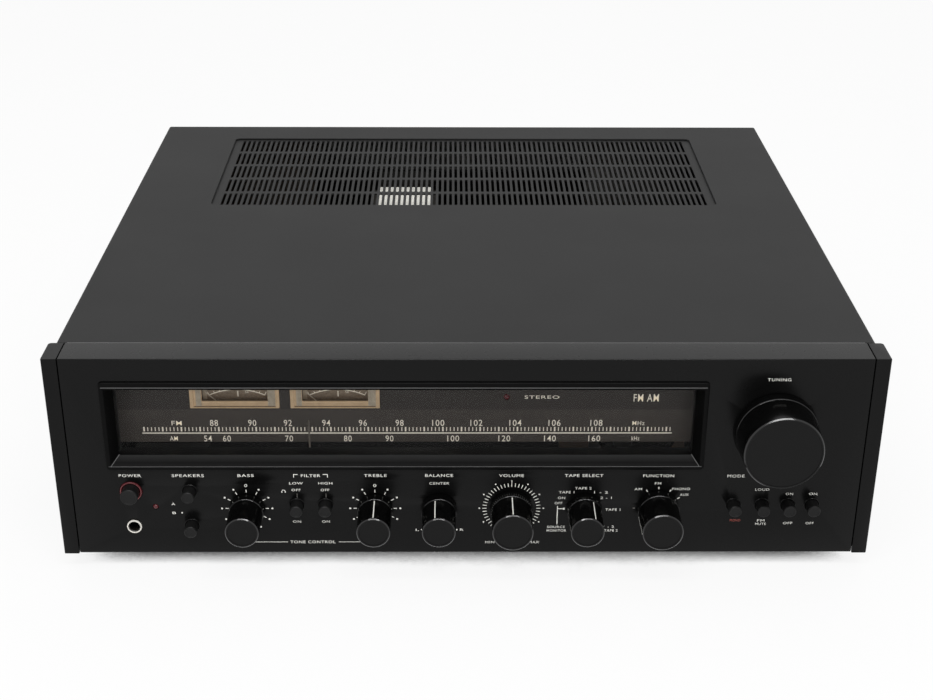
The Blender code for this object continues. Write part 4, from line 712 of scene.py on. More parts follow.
class RECEIVER_OT_lettering(bpy.types.Operator):
    """Prints the panel's plain legends, tick rings and lines"""
    bl_idname = "receiver.lettering"
    bl_label = "Panel lettering"

    def execute(self, context):
        cap = capital_height()
        words = bmesh.new()
        for table, height in ((HEADINGS, HEADING_HEIGHT), (SMALL_WORDS, SMALL_HEIGHT)):
            for text, x, z, width in table:
                add_words(words, text, x, z, height, width, 0, cap)
        for x in TONE_KNOBS_X:
            add_words(words, "0", x, KNOB_Z + 16.1, 2.0, 1.8, 0, cap)
        add_words(words, "MONO", 164.4, 23.2, 1.7, 6.4, 0, cap, index=1)
        make_piece("panel_words", words, ["pad_printed_ink", "faded_red_ink"], "receiver_body")
        marks = bmesh.new()
        shapes = {"dot": dot_shape(0.62), "dash": bar_shape(0.55, 1.9), "long_dash": bar_shape(0.42, 2.5),
                  "small_dot": dot_shape(0.5), "wide_dash": bar_shape(0.6, 1.6)}
        for shape, x, count, radius, first, step in TICK_RINGS:
            self.add_ring(marks, shapes[shape], place(x, KNOB_Z), count, radius, first, step)
        for x, z in LONE_DOTS:
            self.add_ring(marks, shapes["small_dot"], place(x, z), 1, 0.0, 0.0, 0.0)
        for x0, z0, x1, z1, index in BARS:
            add_bar(marks, x0, z0, x1, z1, 0, index)
        add_arch(marks, *PHONES_SIGN)
        make_piece("panel_marks", marks, ["pad_printed_ink", "dull_grey_ink"], "receiver_body")
        remove(*shapes.values())
        return {"FINISHED"}

    def add_ring(self, bm, shape, centre, count, radius, first, step):
        gather(bm, grow(tree_named("tick_ring", ring_tree), {
            "Shape": shape, "Count": count, "Radius": radius * MM, "First angle": math.radians(first),
            "Step": math.radians(step), "Finish": finish("pad_printed_ink")}), centre)


def add_outline(bm, outline, depth):
    """A printed shape from its outline of (X, Z) in mm, as a thin closed solid."""
    ink = bpy.context.scene.receiver_sizes.ink_height
    front, back = [[bm.verts.new(place(x, z, depth) + Vector((0, lift, 0))) for x, z in outline]
                   for lift in (-ink, ink)]
    bm.faces.new(front)
    bm.faces.new(back[::-1])
    for i in range(len(outline)):
        bm.faces.new((front[i - 1], back[i - 1], back[i], front[i]))


def add_arc(bm, x, z, radius, first, last, width, depth, stretch=1.0, steps=24):
    """A printed arc about a point, in mm, from one angle to another, clockwise from the top."""
    outline = []
    for reach, turns in ((radius - width / 2, range(steps + 1)), (radius + width / 2, range(steps, -1, -1))):
        for i in turns:
            a = math.radians(first + (last - first) * i / steps)
            outline.append((x + reach * math.sin(a), z + stretch * reach * math.cos(a)))
    add_outline(bm, outline, depth)


def add_tick(bm, x, z, radius, reach, turn, width, depth):
    """A printed tick that points away from a centre, in mm."""
    a = math.radians(turn)
    out, side = Vector((math.sin(a), math.cos(a))), Vector((math.cos(a), -math.sin(a))) * width / 2
    near, far = out * radius, out * (radius + reach)
    corners = [near - side, near + side, far + side, far - side]
    add_outline(bm, [(x + c.x, z + c.y) for c in corners], depth)


def add_arch(bm, x, z):
    """The small headphone sign: an arch with a pad at each foot, in mm."""
    reach, half_pad = 1.05, 0.35
    add_arc(bm, x, z + 0.5, reach, -90, 90, 0.35, 0, stretch=1.1, steps=10)
    for centre in (x - reach, x + reach):
        add_bar(bm, centre - half_pad, z - 0.1, centre + half_pad, z + 0.8, 0)


# Grille, cover and panel

LAST_ROW = 0.3896  # from the panel's front to the middle of the grille's last row of slots
GRILLE_CORNER = 0.009
# How far the grille laps under the cover, and the opening's corners: a black strip of painted shadow at each side
# lies between them, this wide
GRILLE_LAP, OPENING_CORNER, SHADOW_STRIP_WIDTH = 5.0 * MM, 4.0 * MM, 0.9 * MM
# The cover's rubbed front edge below is a grey bar of painted highlight at the joint of panel and cover
PANEL_FLANGE, LIP_HALF = 22.15 * MM, 0.22 * MM  # the cover's rubbed front edge: place and half width
# Profile of a foot below its top, as (radius, height) in mm, and its bore
FOOT = [(0, 1.6), (10.2, 1.6), (10.6, 0), (11.5, 0), (14.0, 0.4)]
FOOT_TOP, FOOT_BORE, BORE_DEPTH = 15.9, 4.2, 1.5


class RECEIVER_OT_grille(bpy.types.Operator):
    """Perforates the cover's grille with its rows of fine slots"""
    bl_idname = "receiver.grille"
    bl_label = "Grille"

    def execute(self, context):
        sizes = context.scene.receiver_sizes
        low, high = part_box("vent_grille")
        half_x = sizes.slot_columns * sizes.slot_pitch / 2
        half_y = sizes.slot_rows * sizes.slot_row_pitch / 2
        middle = Vector((0, FRONT + LAST_ROW - (sizes.slot_rows - 1) * sizes.slot_row_pitch / 2, 0))
        cell = shape_object("slot_cell", slot_cell(sizes, high.z - low.z))
        mesh = grow(tree_named("slot_grid", grid_tree), {
            "Shape": cell, "Columns": sizes.slot_columns, "Rows": sizes.slot_rows,
            "Column pitch": sizes.slot_pitch, "Row pitch": sizes.slot_row_pitch,
            "Finish": finish("textured_enamel")})
        remove(cell)
        bm = bmesh.new()
        gather(bm, mesh, middle + Vector((0, 0, low.z)))
        add_grille_border(bm, sizes, (low, high), middle, half_x, half_y)
        bmesh.ops.remove_doubles(bm, verts=bm.verts, dist=1e-5)
        make_piece("slotted_grille", bm, ["textured_enamel"], "receiver_body", ["vent_grille"])
        # Black strips of painted shadow along the opening's left and right edges
        shadow_strip = bmesh.new()
        near, far = low.y + GRILLE_LAP + OPENING_CORNER, high.y - GRILLE_LAP - OPENING_CORNER
        for side in (-1, 1):
            edge = side * (high.x - GRILLE_LAP)
            left, right = sorted((edge, edge - side * SHADOW_STRIP_WIDTH))
            add_box(shadow_strip, (left, near, high.z), (right, far, high.z + 0.1 * MM))
        make_piece("grille_gap", shadow_strip, ["blackened_steel"], "receiver_body")
        return {"FINISHED"}


def slot_cell(sizes, thickness):
    """One cell of the grille: a tile with a round-ended slot through it, open at its sides."""
    half_x, half_y = sizes.slot_pitch / 2, sizes.slot_row_pitch / 2
    radius, reach = sizes.slot_width / 2, sizes.slot_length / 2 - sizes.slot_width / 2
    arc = [math.pi * i / 4 for i in range(5)]
    right_top = [(radius * math.sin(a), reach + radius * math.cos(a)) for a in arc[:3]]
    right = right_top + [(x, -y) for x, y in reversed(right_top)]
    bm = bmesh.new()
    levels = []
    for z in (0.0, thickness):
        slot = {}
        sides = []
        for sign in (1, -1):
            points = [(0, half_y), (sign * half_x, half_y), (sign * half_x, -half_y), (0, -half_y)]
            points += [(sign * x, y) for x, y in reversed(right)]
            verts = []
            for point in points:
                key = (round(point[0], 7), round(point[1], 7))
                slot[key] = slot.get(key) or bm.verts.new((*point, z))
                verts.append(slot[key])
            bm.faces.new(verts)
            sides.append([slot[(round(sign * x, 7), round(y, 7))] for x, y in right])
        levels.append(sides)
    for low_side, high_side in zip(*levels):
        for i in range(len(low_side) - 1):
            bm.faces.new((low_side[i], low_side[i + 1], high_side[i + 1], high_side[i]))
    return bm


def add_grille_border(bm, sizes, box, middle, half_x, half_y):
    """The plain rim round the slots, whose inner edge has the cells' own vertices."""
    low, high = box
    radius = GRILLE_CORNER
    count_x, count_y = 2 * sizes.slot_columns, sizes.slot_rows
    xs = [middle.x - half_x + half_x * 2 * i / count_x for i in range(count_x + 1)]
    ys = [middle.y - half_y + half_y * 2 * i / count_y for i in range(count_y + 1)]
    inner = [[(x, ys[0]) for x in xs], [(xs[-1], y) for y in ys], [(x, ys[-1]) for x in reversed(xs)],
             [(xs[0], y) for y in reversed(ys)]]
    centres = [(low.x + radius, low.y + radius, 180), (high.x - radius, low.y + radius, 270),
               (high.x - radius, high.y - radius, 0), (low.x + radius, high.y - radius, 90)]
    arcs = [[(x + radius * math.cos(turn), y + radius * math.sin(turn))
             for turn in (math.radians(first + 15 * i) for i in range(7))] for x, y, first in centres]
    outer = []
    for z in (low.z, high.z):
        found = {}

        def vertex(point):
            key = (round(point[0], 7), round(point[1], 7))
            found[key] = found.get(key) or bm.verts.new((*point, z))
            return found[key]

        for side in range(4):
            edge = arcs[side][3:] + arcs[(side + 1) % 4][:4]
            bm.faces.new([vertex(p) for p in edge + inner[side][::-1]])
        outer.append([vertex(p) for arc in arcs for p in arc])
    for i in range(len(outer[0])):
        j = (i + 1) % len(outer[0])
        bm.faces.new((outer[0][i], outer[0][j], outer[1][j], outer[1][i]))


class RECEIVER_OT_case(bpy.types.Operator):
    """Finishes the cover, front panel, end caps and feet"""
    bl_idname = "receiver.case"
    bl_label = "Case"

    def execute(self, context):
        refine("top_cover", ["textured_enamel"], 0.0004, smooth=8)
        # The panel's top faces take the painted lit copy of its anodising
        refine("faceplate", ["black_anodising", "anodised_flange"], 0.00015,
               choose=lambda face: int(face.normal.z > 0.95 and face.calc_center_median().z > PANEL_TOP - 2 * MM))
        for node in ("left_end_cap", "right_end_cap"):
            refine(node, ["spark_textured_abs"], 0.0004)
        # A grey bar of painted highlight along the joint of panel and cover
        seam = bmesh.new()
        low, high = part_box("faceplate")
        lip = low.y + PANEL_FLANGE
        add_box(seam, (low.x + MM, lip - LIP_HALF, high.z - MM), (high.x - MM, lip + LIP_HALF, high.z))
        make_piece("cover_lip", seam, ["rubbed_edge"], "receiver_body")
        for end in ("front", "rear"):
            for side in ("left", "right"):
                node = f"{end}_{side}_foot"
                low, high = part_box(node)
                centre = Vector(((low.x + high.x) / 2, (low.y + high.y) / 2, 0))
                top = high.z / MM
                profile = eased([*FOOT, (FOOT_TOP, top), (FOOT_BORE, top), (FOOT_BORE, top - BORE_DEPTH),
                                 (0, top - BORE_DEPTH)], 0.5)
                bm = bmesh.new()
                lathe(bm, centre, profile, 64, axis="Z")
                make_piece(f"{node}_moulding", bm, ["moulded_rubber"], "receiver_body", [node])
        return {"FINISHED"}


# The dial window, in mm: two corners of its rim, whose upper and lower edges carry bars of painted highlight;
# the front and back ends of the edges where its side walls meet the lower one, each with a rod of painted
# highlight; and the height up to which the pointer's foot is painted dull black as shade
RIM_LINE = ((-214.2, 61.7), (140.9, 115.1))
MITRES = [((-213.0, 61.8, -1.2), (-209.0, 65.8, 6.7)), ((139.7, 61.8, -1.2), (135.7, 65.8, 6.7))]
POINTER_FOOT = 66.5
BAND_FOOT, BAND_RIM = 88.5, 0.4  # the dial's dark band: its lower edge, and the bare rim round it
DIAL_RULE = (-197.2, 71.95, 125.3, 72.65)  # the line between the two scales
TICKS_SPAN, TICKS_START = 125.3 - -195.6, (-196.0, 75.0)
DIAL_WORDS = [  # words, X, Z, height and width
    ("FM", -175.9, 79.2, 3.0, 6.2), ("MHz", 104.6, 79.2, 2.8, 7.4), ("AM", -178.4, 68.6, 3.0, 4.8),
    ("kHz", 103.3, 68.6, 2.8, 4.8), ("STEREO", 45.4, 97.0, 2.1, 21.0), ("FM AM", 108.4, 96.5, 5.0, 15.2),
]


class RECEIVER_OT_window(bpy.types.Operator):
    """Finishes the dial window, its lens and the printed dial plate"""
    bl_idname = "receiver.window"
    bl_label = "Dial window"

    def execute(self, context):
        sizes = context.scene.receiver_sizes
        # The lower splayed wall takes the finish with the painted sheen
        refine("window_bezel", ["window_moulding", "splayed_wall"], 0.00022, 2, angle=20, choose=lower_splay)
        # Grey bars and rods of painted highlight along the rim's edges and the mitres
        edges = bmesh.new()
        (x0, z0), (x1, z1) = RIM_LINE
        for bar in ((x0, z1 - 0.4, x1, z1), (x0, z0, x1, z0 + 0.25)):
            add_bar(edges, *bar, (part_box("window_bezel")[0].y - FRONT) / MM)
        for front, back in MITRES:
            add_rod(edges, place(*front), place(*back), 0.3 * MM)
        make_piece("window_edges", edges, ["rubbed_edge"], "receiver_body")
        assign("dial_lens", "clear_acrylic")
        assign("dial_plate", "smoked_dial_plate")
        # The pointer's foot below the dial is painted dull black as shade
        refine("dial_pointer", ["smoked_pointer", "blackened_steel"], 0.00005, 1,
               choose=lambda face: int(face.calc_center_median().z < BASE + POINTER_FOOT * MM))
        cap = capital_height()
        low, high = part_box("dial_plate")
        plate = (low.y - FRONT) / MM
        band = bmesh.new()
        add_dial_band(band, low.x / MM + BAND_RIM, high.x / MM - BAND_RIM, BAND_FOOT,
                      (high.z - BASE) / MM - BAND_RIM, plate)
        make_piece("dial_band", band, ["smoked_dial_band"], "receiver_body")
        ink = bmesh.new()
        for text, x in FM_NUMBERS:
            add_words(ink, text, x, 79.3, 4.1, 2.45 * len(text), plate, cap)
        for text, x in AM_NUMBERS:
            add_words(ink, text, x, 68.5, 4.0, 2.4 * len(text), plate, cap)
        for text, x, z, height, width in DIAL_WORDS:
            add_words(ink, text, x, z, height, width, plate - 0.06, cap)
        add_bar(ink, *DIAL_RULE, plate)
        tick = bar_shape(0.55, 2.6)
        count = round(TICKS_SPAN * MM / sizes.dial_tick_pitch) + 1
        ticks = grow(tree_named("dial_ticks", scale_tree), {
            "Shape": tick, "Count": count, "Pitch": sizes.dial_tick_pitch, "Major every": 5,
            "Major growth": (1.7, 1.0, 1.15), "Finish": finish("screen_printed_scale")})
        remove(tick)
        gather(ink, ticks, place(*TICKS_START, plate))
        make_piece("dial_print", ink, ["screen_printed_scale"], "receiver_body")
        return {"FINISHED"}


def lower_splay(face):
    """1 for the window's lower splayed wall, which takes the painted sheen, and 0 for the rest of its moulding."""
    at = face.calc_center_median()
    return int(0.6 < face.normal.z < 0.97 and -1.0 < (at.y - FRONT) / MM < 6.9 and (at.z - BASE) / MM < 70)


def add_rod(bm, start, end, radius):
    """A thin four-sided rod between two points."""
    along = (end - start).normalized()
    side = along.cross(Vector((0, 0, 1))).normalized() * radius
    up = side.cross(along).normalized() * radius
    rings = [[bm.verts.new(at + offset) for offset in (side, up, -side, -up)] for at in (start, end)]
    bm.faces.new(rings[0])
    bm.faces.new(rings[1][::-1])
    for i in range(4):
        bm.faces.new((rings[0][i - 1], rings[0][i], rings[1][i], rings[1][i - 1]))


def add_dial_band(bm, x0, x1, z0, z1, plate):
    """The darker upper band of the dial, with the openings of the meters and the lamp left out."""
    low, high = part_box("stereo_lamp")
    holes = [(low.x / MM - 0.5, high.x / MM + 0.5, (low.z - BASE) / MM - 0.5, (high.z - BASE) / MM + 0.5)]
    for x in METERS.values():
        holes.append((x - METER_HALF - 0.3, x + METER_HALF + 0.3, METER_Z[0] - 0.3, METER_Z[1] + 0.3))
    x = x0
    for left, right, bottom, top in sorted(holes):
        add_bar(bm, x, z0, left, z1, plate)
        if bottom > z0 + 0.3:
            add_bar(bm, left, z0, right, bottom, plate)
        if top < z1 - 0.3:
            add_bar(bm, left, top, right, z1, plate)
        x = right
    add_bar(bm, x, z0, x1, z1, plate)


def assign(node, label):
    """Gives a CAD node that keeps its shape its finish."""
    mesh = frame["nodes"][node].data
    mesh.materials.clear()
    mesh.materials.append(finish(label))


# Meters, in mm: centres, height and half width of the frame, and its rim
METERS = {"signal_meter": -139.9, "tuning_meter": -79.4}
METER_Z = (89.7, 110.7)
METER_HALF, METER_RIM = 26.9, 2.2
METER_WINDOW = (19.9, 92.9, 108.7)  # half width, foot and top of the opening in the sunk face
METER_FACE, METER_BACK, METER_CARD = 21.4, 23.2, 26.1  # how far the face, its back and the card lie behind the panel
METER_BLOCK = -23.3  # outer end of the left side block, from the meter's centre
METER_ARC = (60.8, 39.0, 25.4)  # height of the arc's centre, its radius, and its half sweep in degrees
CARD_SHIFT = 1  # how far right of the meter's centre its card is printed
METER_NUMBERS = [("1", -16), ("3", -8), ("5", 0), ("7", 8), ("9", 16)]  # and their angle in degrees
NUMBERS_RADIUS = 42.5


def meter_part(face, x):
    """The finish index of a meter's face: frame, side block, card or case."""
    at = face.calc_center_median()
    across, up, depth = at.x / MM - x, (at.z - BASE) / MM, (at.y - FRONT) / MM
    half, low, high = METER_WINDOW
    if face.normal.y < -0.9:
        if abs(depth - METER_CARD) < 0.2 and abs(across) < half and low < up < high:
            return 2
        on_block = METER_BLOCK < across < -half or half < across < METER_HALF - METER_RIM
        if abs(depth - METER_FACE) < 0.1 and on_block:
            return 1
    return 0 if depth < METER_BACK else 3


class RECEIVER_OT_meters(bpy.types.Operator):
    """Finishes the two meters and their needles, and prints their cards"""
    bl_idname = "receiver.meters"
    bl_label = "Meters"

    def execute(self, context):
        cap = capital_height()
        half, low, high = METER_WINDOW
        arc_z, radius, sweep = METER_ARC
        for node, x in METERS.items():
            refine(node, ["yellowed_polystyrene", "frosted_polystyrene", "meter_card", "phenolic_moulding"],
                   0.00012, 1, cuts=[(x + side) * MM for side in (METER_BLOCK, -half - 0.02, half + 0.02)],
                   choose=lambda face: meter_part(face, x))
            ink = bmesh.new()
            centre = x + CARD_SHIFT
            add_arc(ink, centre, arc_z, radius, -sweep, sweep, 0.5, METER_CARD)
            for i in range(11):
                add_tick(ink, centre, arc_z, radius, 1.3 if i % 5 else 2.4, sweep * (i / 5 - 1), 0.35, METER_CARD)
            for text, degrees in METER_NUMBERS:
                turn = math.radians(degrees)
                add_words(ink, text, centre + NUMBERS_RADIUS * math.sin(turn),
                          arc_z + NUMBERS_RADIUS * math.cos(turn), 1.3, 0.9, METER_CARD, cap)
            add_words(ink, "50", x + 7.0, 98.0, 1.1, 2.0, METER_CARD, cap)
            add_bar(ink, x + 1.3, 95.0, x + 1.9, 98.8, METER_CARD)
            add_bar(ink, x - half + 0.3, low + 0.3, x - half + 2.8, high - 0.3, METER_CARD, index=1)
            add_bar(ink, x - METER_HALF + 2.4, METER_Z[0] + 0.75, x + METER_HALF - 2.4, METER_Z[0] + 1.3,
                    METER_FACE, index=2)
            add_box(ink, place(x - half, low, METER_FACE + 0.05), place(x + half, low + 1.2, METER_FACE + 0.9), 3)
            make_piece(f"{node}_print", ink, ["screen_printed_scale", "frosted_polystyrene", "meter_shadow_line",
                                              "yellowed_polystyrene"], "receiver_body")
            refine(node.replace("meter", "needle"), ["white_lacquer"], 0.00005, 1)
        return {"FINISHED"}


# Knobs and buttons

KNOBS = {  # radius in mm and the angle of the white line at rest, or None where there is none
    "bass_knob": (10.0, -150), "treble_knob": (10.0, 0), "balance_knob": (10.0, -13),
    "volume_knob": (12.2, 0), "tape_knob": (10.0, 27), "function_knob": (12.2, -97),
}


class RECEIVER_OT_knobs(bpy.types.Operator):
    """Turns the six rotary knobs and the tuning knob"""
    bl_idname = "receiver.knobs"
    bl_label = "Knobs"

    def execute(self, context):
        sides = context.scene.receiver_sizes.knob_sides
        for node, (radius, line) in KNOBS.items():
            centre, _, face, tail = turned_box(node)
            wide = radius + 0.2
            profile = [(0, tail), (3.0, tail), (3.0, -0.8), (wide + 0.1, -0.8), (wide + 0.3, -1.1),
                       (wide + 0.3, -6.6), (wide + 0.28, -6.75), (wide + 0.02, -7.0), (wide, -7.05),
                       (radius, face + 0.75), (radius - 0.02, face + 0.6), (radius - 0.5, face + 0.04),
                       (radius - 0.6, face), (radius - 1.5, face), (radius - 1.6, face + 0.25), (0, face + 0.25)]
            bands = [0, 0, 0, 0, 0, 0, 1, 0, 0, 0, 1, 1, 0, 0, 2]
            bm = bmesh.new()
            lathe(bm, centre, profile, sides, bands)
            add_line(bm, centre, line, (wide, -8.0), (radius, face + 1.4), 3)
            make_piece(f"{node}_turned", bm, ["polished_black_abs", "polished_chamfer", "lathe_turned_face",
                                              "pad_printed_ink"], body_of(node), [node], angle=25)
        centre, _, face, tail = turned_box("tuning_knob")
        profile = [(3.3, tail), (3.3, -0.8), (24.9, -0.8), (25.1, -1.1), (24.8, -6.5), (24.75, -6.65),
                   (24.5, -6.95), (24.45, -7.0), (23.5, face + 0.85), (23.47, face + 0.7), (22.85, face + 0.05),
                   (22.7, face), (21.9, face), (21.8, face + 0.25), (0, face + 0.25)]
        bands = [0, 0, 0, 0, 1, 1, 0, 0, 0, 1, 1, 0, 0, 2]
        bm = bmesh.new()
        lathe(bm, centre, profile, 2 * sides, bands)
        make_piece("tuning_knob_turned", bm, ["polished_black_abs", "polished_chamfer", "lathe_turned_face"],
                   body_of("tuning_knob"), ["tuning_knob"], angle=25)
        return {"FINISHED"}


LINE_HALF = 0.28  # half the width of a knob's white line, in mm


def add_line(bm, centre, turn, start, end, index):
    """The white line along a knob's side, from one (radius, height) in mm to another."""
    angle = math.radians(turn)
    out = Vector((math.sin(angle), 0, math.cos(angle)))
    side = Vector((out.z, 0, -out.x)) * LINE_HALF * MM
    corners = []
    for lift in (-0.25, 0.05):
        for radius, height in (start, end):
            along = centre + out * (radius + lift) * MM + Vector((0, height * MM, 0))
            corners.append([bm.verts.new(along - side), bm.verts.new(along + side)])
    (a, b), (c, d), (e, f), (g, h) = corners
    for quad in ((a, b, d, c), (e, f, h, g), (a, b, f, e), (c, d, h, g), (a, c, g, e), (b, d, h, f)):
        bm.faces.new(quad).material_index = index


BUTTONS = ["speaker_a_button", "speaker_b_button", "low_filter_button", "high_filter_button",
           "mode_button_1", "mode_button_2", "mode_button_3", "mode_button_4", "power_button"]
STEM_HALF, STEM_FRONT = 1.5, 7.8  # a button's square stem, in mm: half its width, and where it starts


class RECEIVER_OT_buttons(bpy.types.Operator):
    """Moulds the push buttons, their rims, the lit ring, the lamps and the headphone socket"""
    bl_idname = "receiver.buttons"
    bl_label = "Buttons and lamps"

    def execute(self, context):
        rims = bmesh.new()
        for node in BUTTONS:
            centre, radius, face, back = turned_box(node)
            profile = eased([(0, 7.9), (radius, 7.9), (radius, face + 0.5), (radius - 0.5, face),
                             (radius - 0.9, face + 0.05), (radius - 1.1, face + 0.3), (0, face + 0.35)], 0.18)
            bm = bmesh.new()
            lathe(bm, centre, profile, 48)
            half = Vector((STEM_HALF * MM, 0, STEM_HALF * MM))
            add_box(bm, centre - half + Vector((0, STEM_FRONT * MM, 0)), centre + half + Vector((0, back * MM, 0)))
            make_piece(f"{node}_moulded", bm, ["satin_black_abs"], body_of(node), [node])
            if node != "power_button":
                hole = radius + 0.45
                lathe(rims, centre, eased([(hole, 2.9), (hole, -0.25), (hole + 0.35, -0.25), (hole + 0.6, 0.05),
                                           (hole + 0.35, 0.1), (hole + 0.15, 2.9), (hole, 2.9)], 0.12), 40)
        close_seams(rims)
        make_piece("button_rims", rims, ["polished_black_abs"], "receiver_body")
        centre, *_ = turned_box("power_ring")
        bm = bmesh.new()
        # The band at the ring's crest takes the painted highlight
        lathe(bm, centre, [(5.75, 4.6), (5.75, -0.35), (5.95, -0.55), (6.2, -0.62), (6.45, -0.55), (6.62, -0.4),
                           (6.7, 0.0), (6.7, 4.6), (5.75, 4.6)], 64, [0, 0, 1, 0, 0, 0, 0, 0])
        close_seams(bm)
        make_piece("lit_ring", bm, ["red_lamp_lens", "lit_ring_crest"], "receiver_body", ["power_ring"])
        for node, radius in (("power_lamp", 1.6), ("stereo_lamp", 1.8)):
            low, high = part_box(node)
            centre = Vector(((low.x + high.x) / 2, low.y, (low.z + high.z) / 2))
            depth = (high.y - low.y) / MM
            dome = [(0.0, 0.0), (radius * 0.35, 0.04), (radius * 0.65, 0.2), (radius * 0.87, 0.5), (radius, 1.0),
                    (radius, depth), (0, depth)]
            bm = bmesh.new()
            lathe(bm, centre, dome, 32)
            make_piece(f"{node}_lens", bm, ["red_lamp_lens"], "receiver_body", [node])
        centre, _, _, back = turned_box("headphone_jack")
        bm = bmesh.new()
        profile = [(0, 34.0), (3.15, 34.0), (3.15, -0.4), (3.65, -0.9), (3.8, -1.15), (4.2, -1.2), (4.45, -1.0),
                   (4.55, -0.4), (4.55, -0.3), (4.2, -0.3), (4.2, 27.5), (6.0, 27.5), (6.0, back), (0, back)]
        bands = [1, 1, 1, 0, 0, 0, 0, 0, 0, 1, 1, 1, 1]
        lathe(bm, centre, profile, 64, bands)
        make_piece("socket_with_collar", bm, ["ivory_nylon", "phenolic_moulding"], "receiver_body",
                   ["headphone_jack"])
        return {"FINISHED"}


# Inside and rear

REARWARD = (-math.pi / 2, 0, 0)
SIDE_SCREWS_Y, SIDE_SCREWS_Z = (0.07, 0.37), 0.030  # behind the panel's front and above its lower edge
REAR_SCREWS_X, REAR_SCREWS_Z = (-0.225, -0.03, 0.03, 0.225), (0.007, 0.124)

class RECEIVER_OT_works(bpy.types.Operator):
    """Finishes everything inside the case, seen through the grille's slots"""
    bl_idname = "receiver.works"
    bl_label = "Works"

    def execute(self, context):
        # The pan, the subframe and the rail take the dull black that paints the shade inside the case and below the
        # dial
        for node, label in {
                "front_subframe": "blackened_steel", "chassis_pan": "blackened_steel",
                "pointer_rail": "blackened_steel", "tuning_shaft": "zinc_plated_steel",
                "dial_drum": "satin_black_abs", "tuning_capacitor": "extruded_aluminium",
                "capacitor_rotor": "extruded_aluminium", "tone_board": "phenolic_board",
                "selector_board": "phenolic_board", "tuner_board": "phenolic_board",
                "amplifier_board": "phenolic_board", "left_switch_bank": "phenolic_moulding",
                "mode_switch_bank": "phenolic_moulding", "heatsink": "black_anodising",
                "power_transformer": "varnished_laminations", "ferrite_aerial": "sintered_ferrite"}.items():
            assign(node, label)
        low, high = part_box("power_transformer")
        x, shell, foot = (low.x + high.x) / 2, 0.4 * MM, high.z - 30 * MM
        near, far, top = low.y - shell, high.y + shell, high.z + shell
        wrap = [(near, foot), (near, top), (far, top), (far, foot)]
        outline = [tuple(point) for point in eased(wrap, 2.5 * MM)]
        middle = Vector(((low.y + high.y) / 2, high.z - 60 * MM))
        inner = [tuple(Vector(p) + (middle - Vector(p)).normalized() * shell * 0.5) for p in outline]
        bm = bmesh.new()
        loops = [[bm.verts.new((x + side * 20.5 * MM, a, b)) for a, b in line] for side in (-1, 1)
                 for line in (outline, inner)]
        left_out, left_in, right_out, right_in = loops
        for first, second in ((left_out, right_out), (left_in, right_in), (left_out, left_in),
                              (right_out, right_in)):
            for i in range(len(first) - 1):
                bm.faces.new((first[i], first[i + 1], second[i + 1], second[i]))
        for i in (0, -1):
            bm.faces.new((left_out[i], right_out[i], right_in[i], left_in[i]))
        # The tape shines with painted light of its own
        make_piece("winding_wrap", bm, ["winding_tape"], "receiver_body")
        return {"FINISHED"}


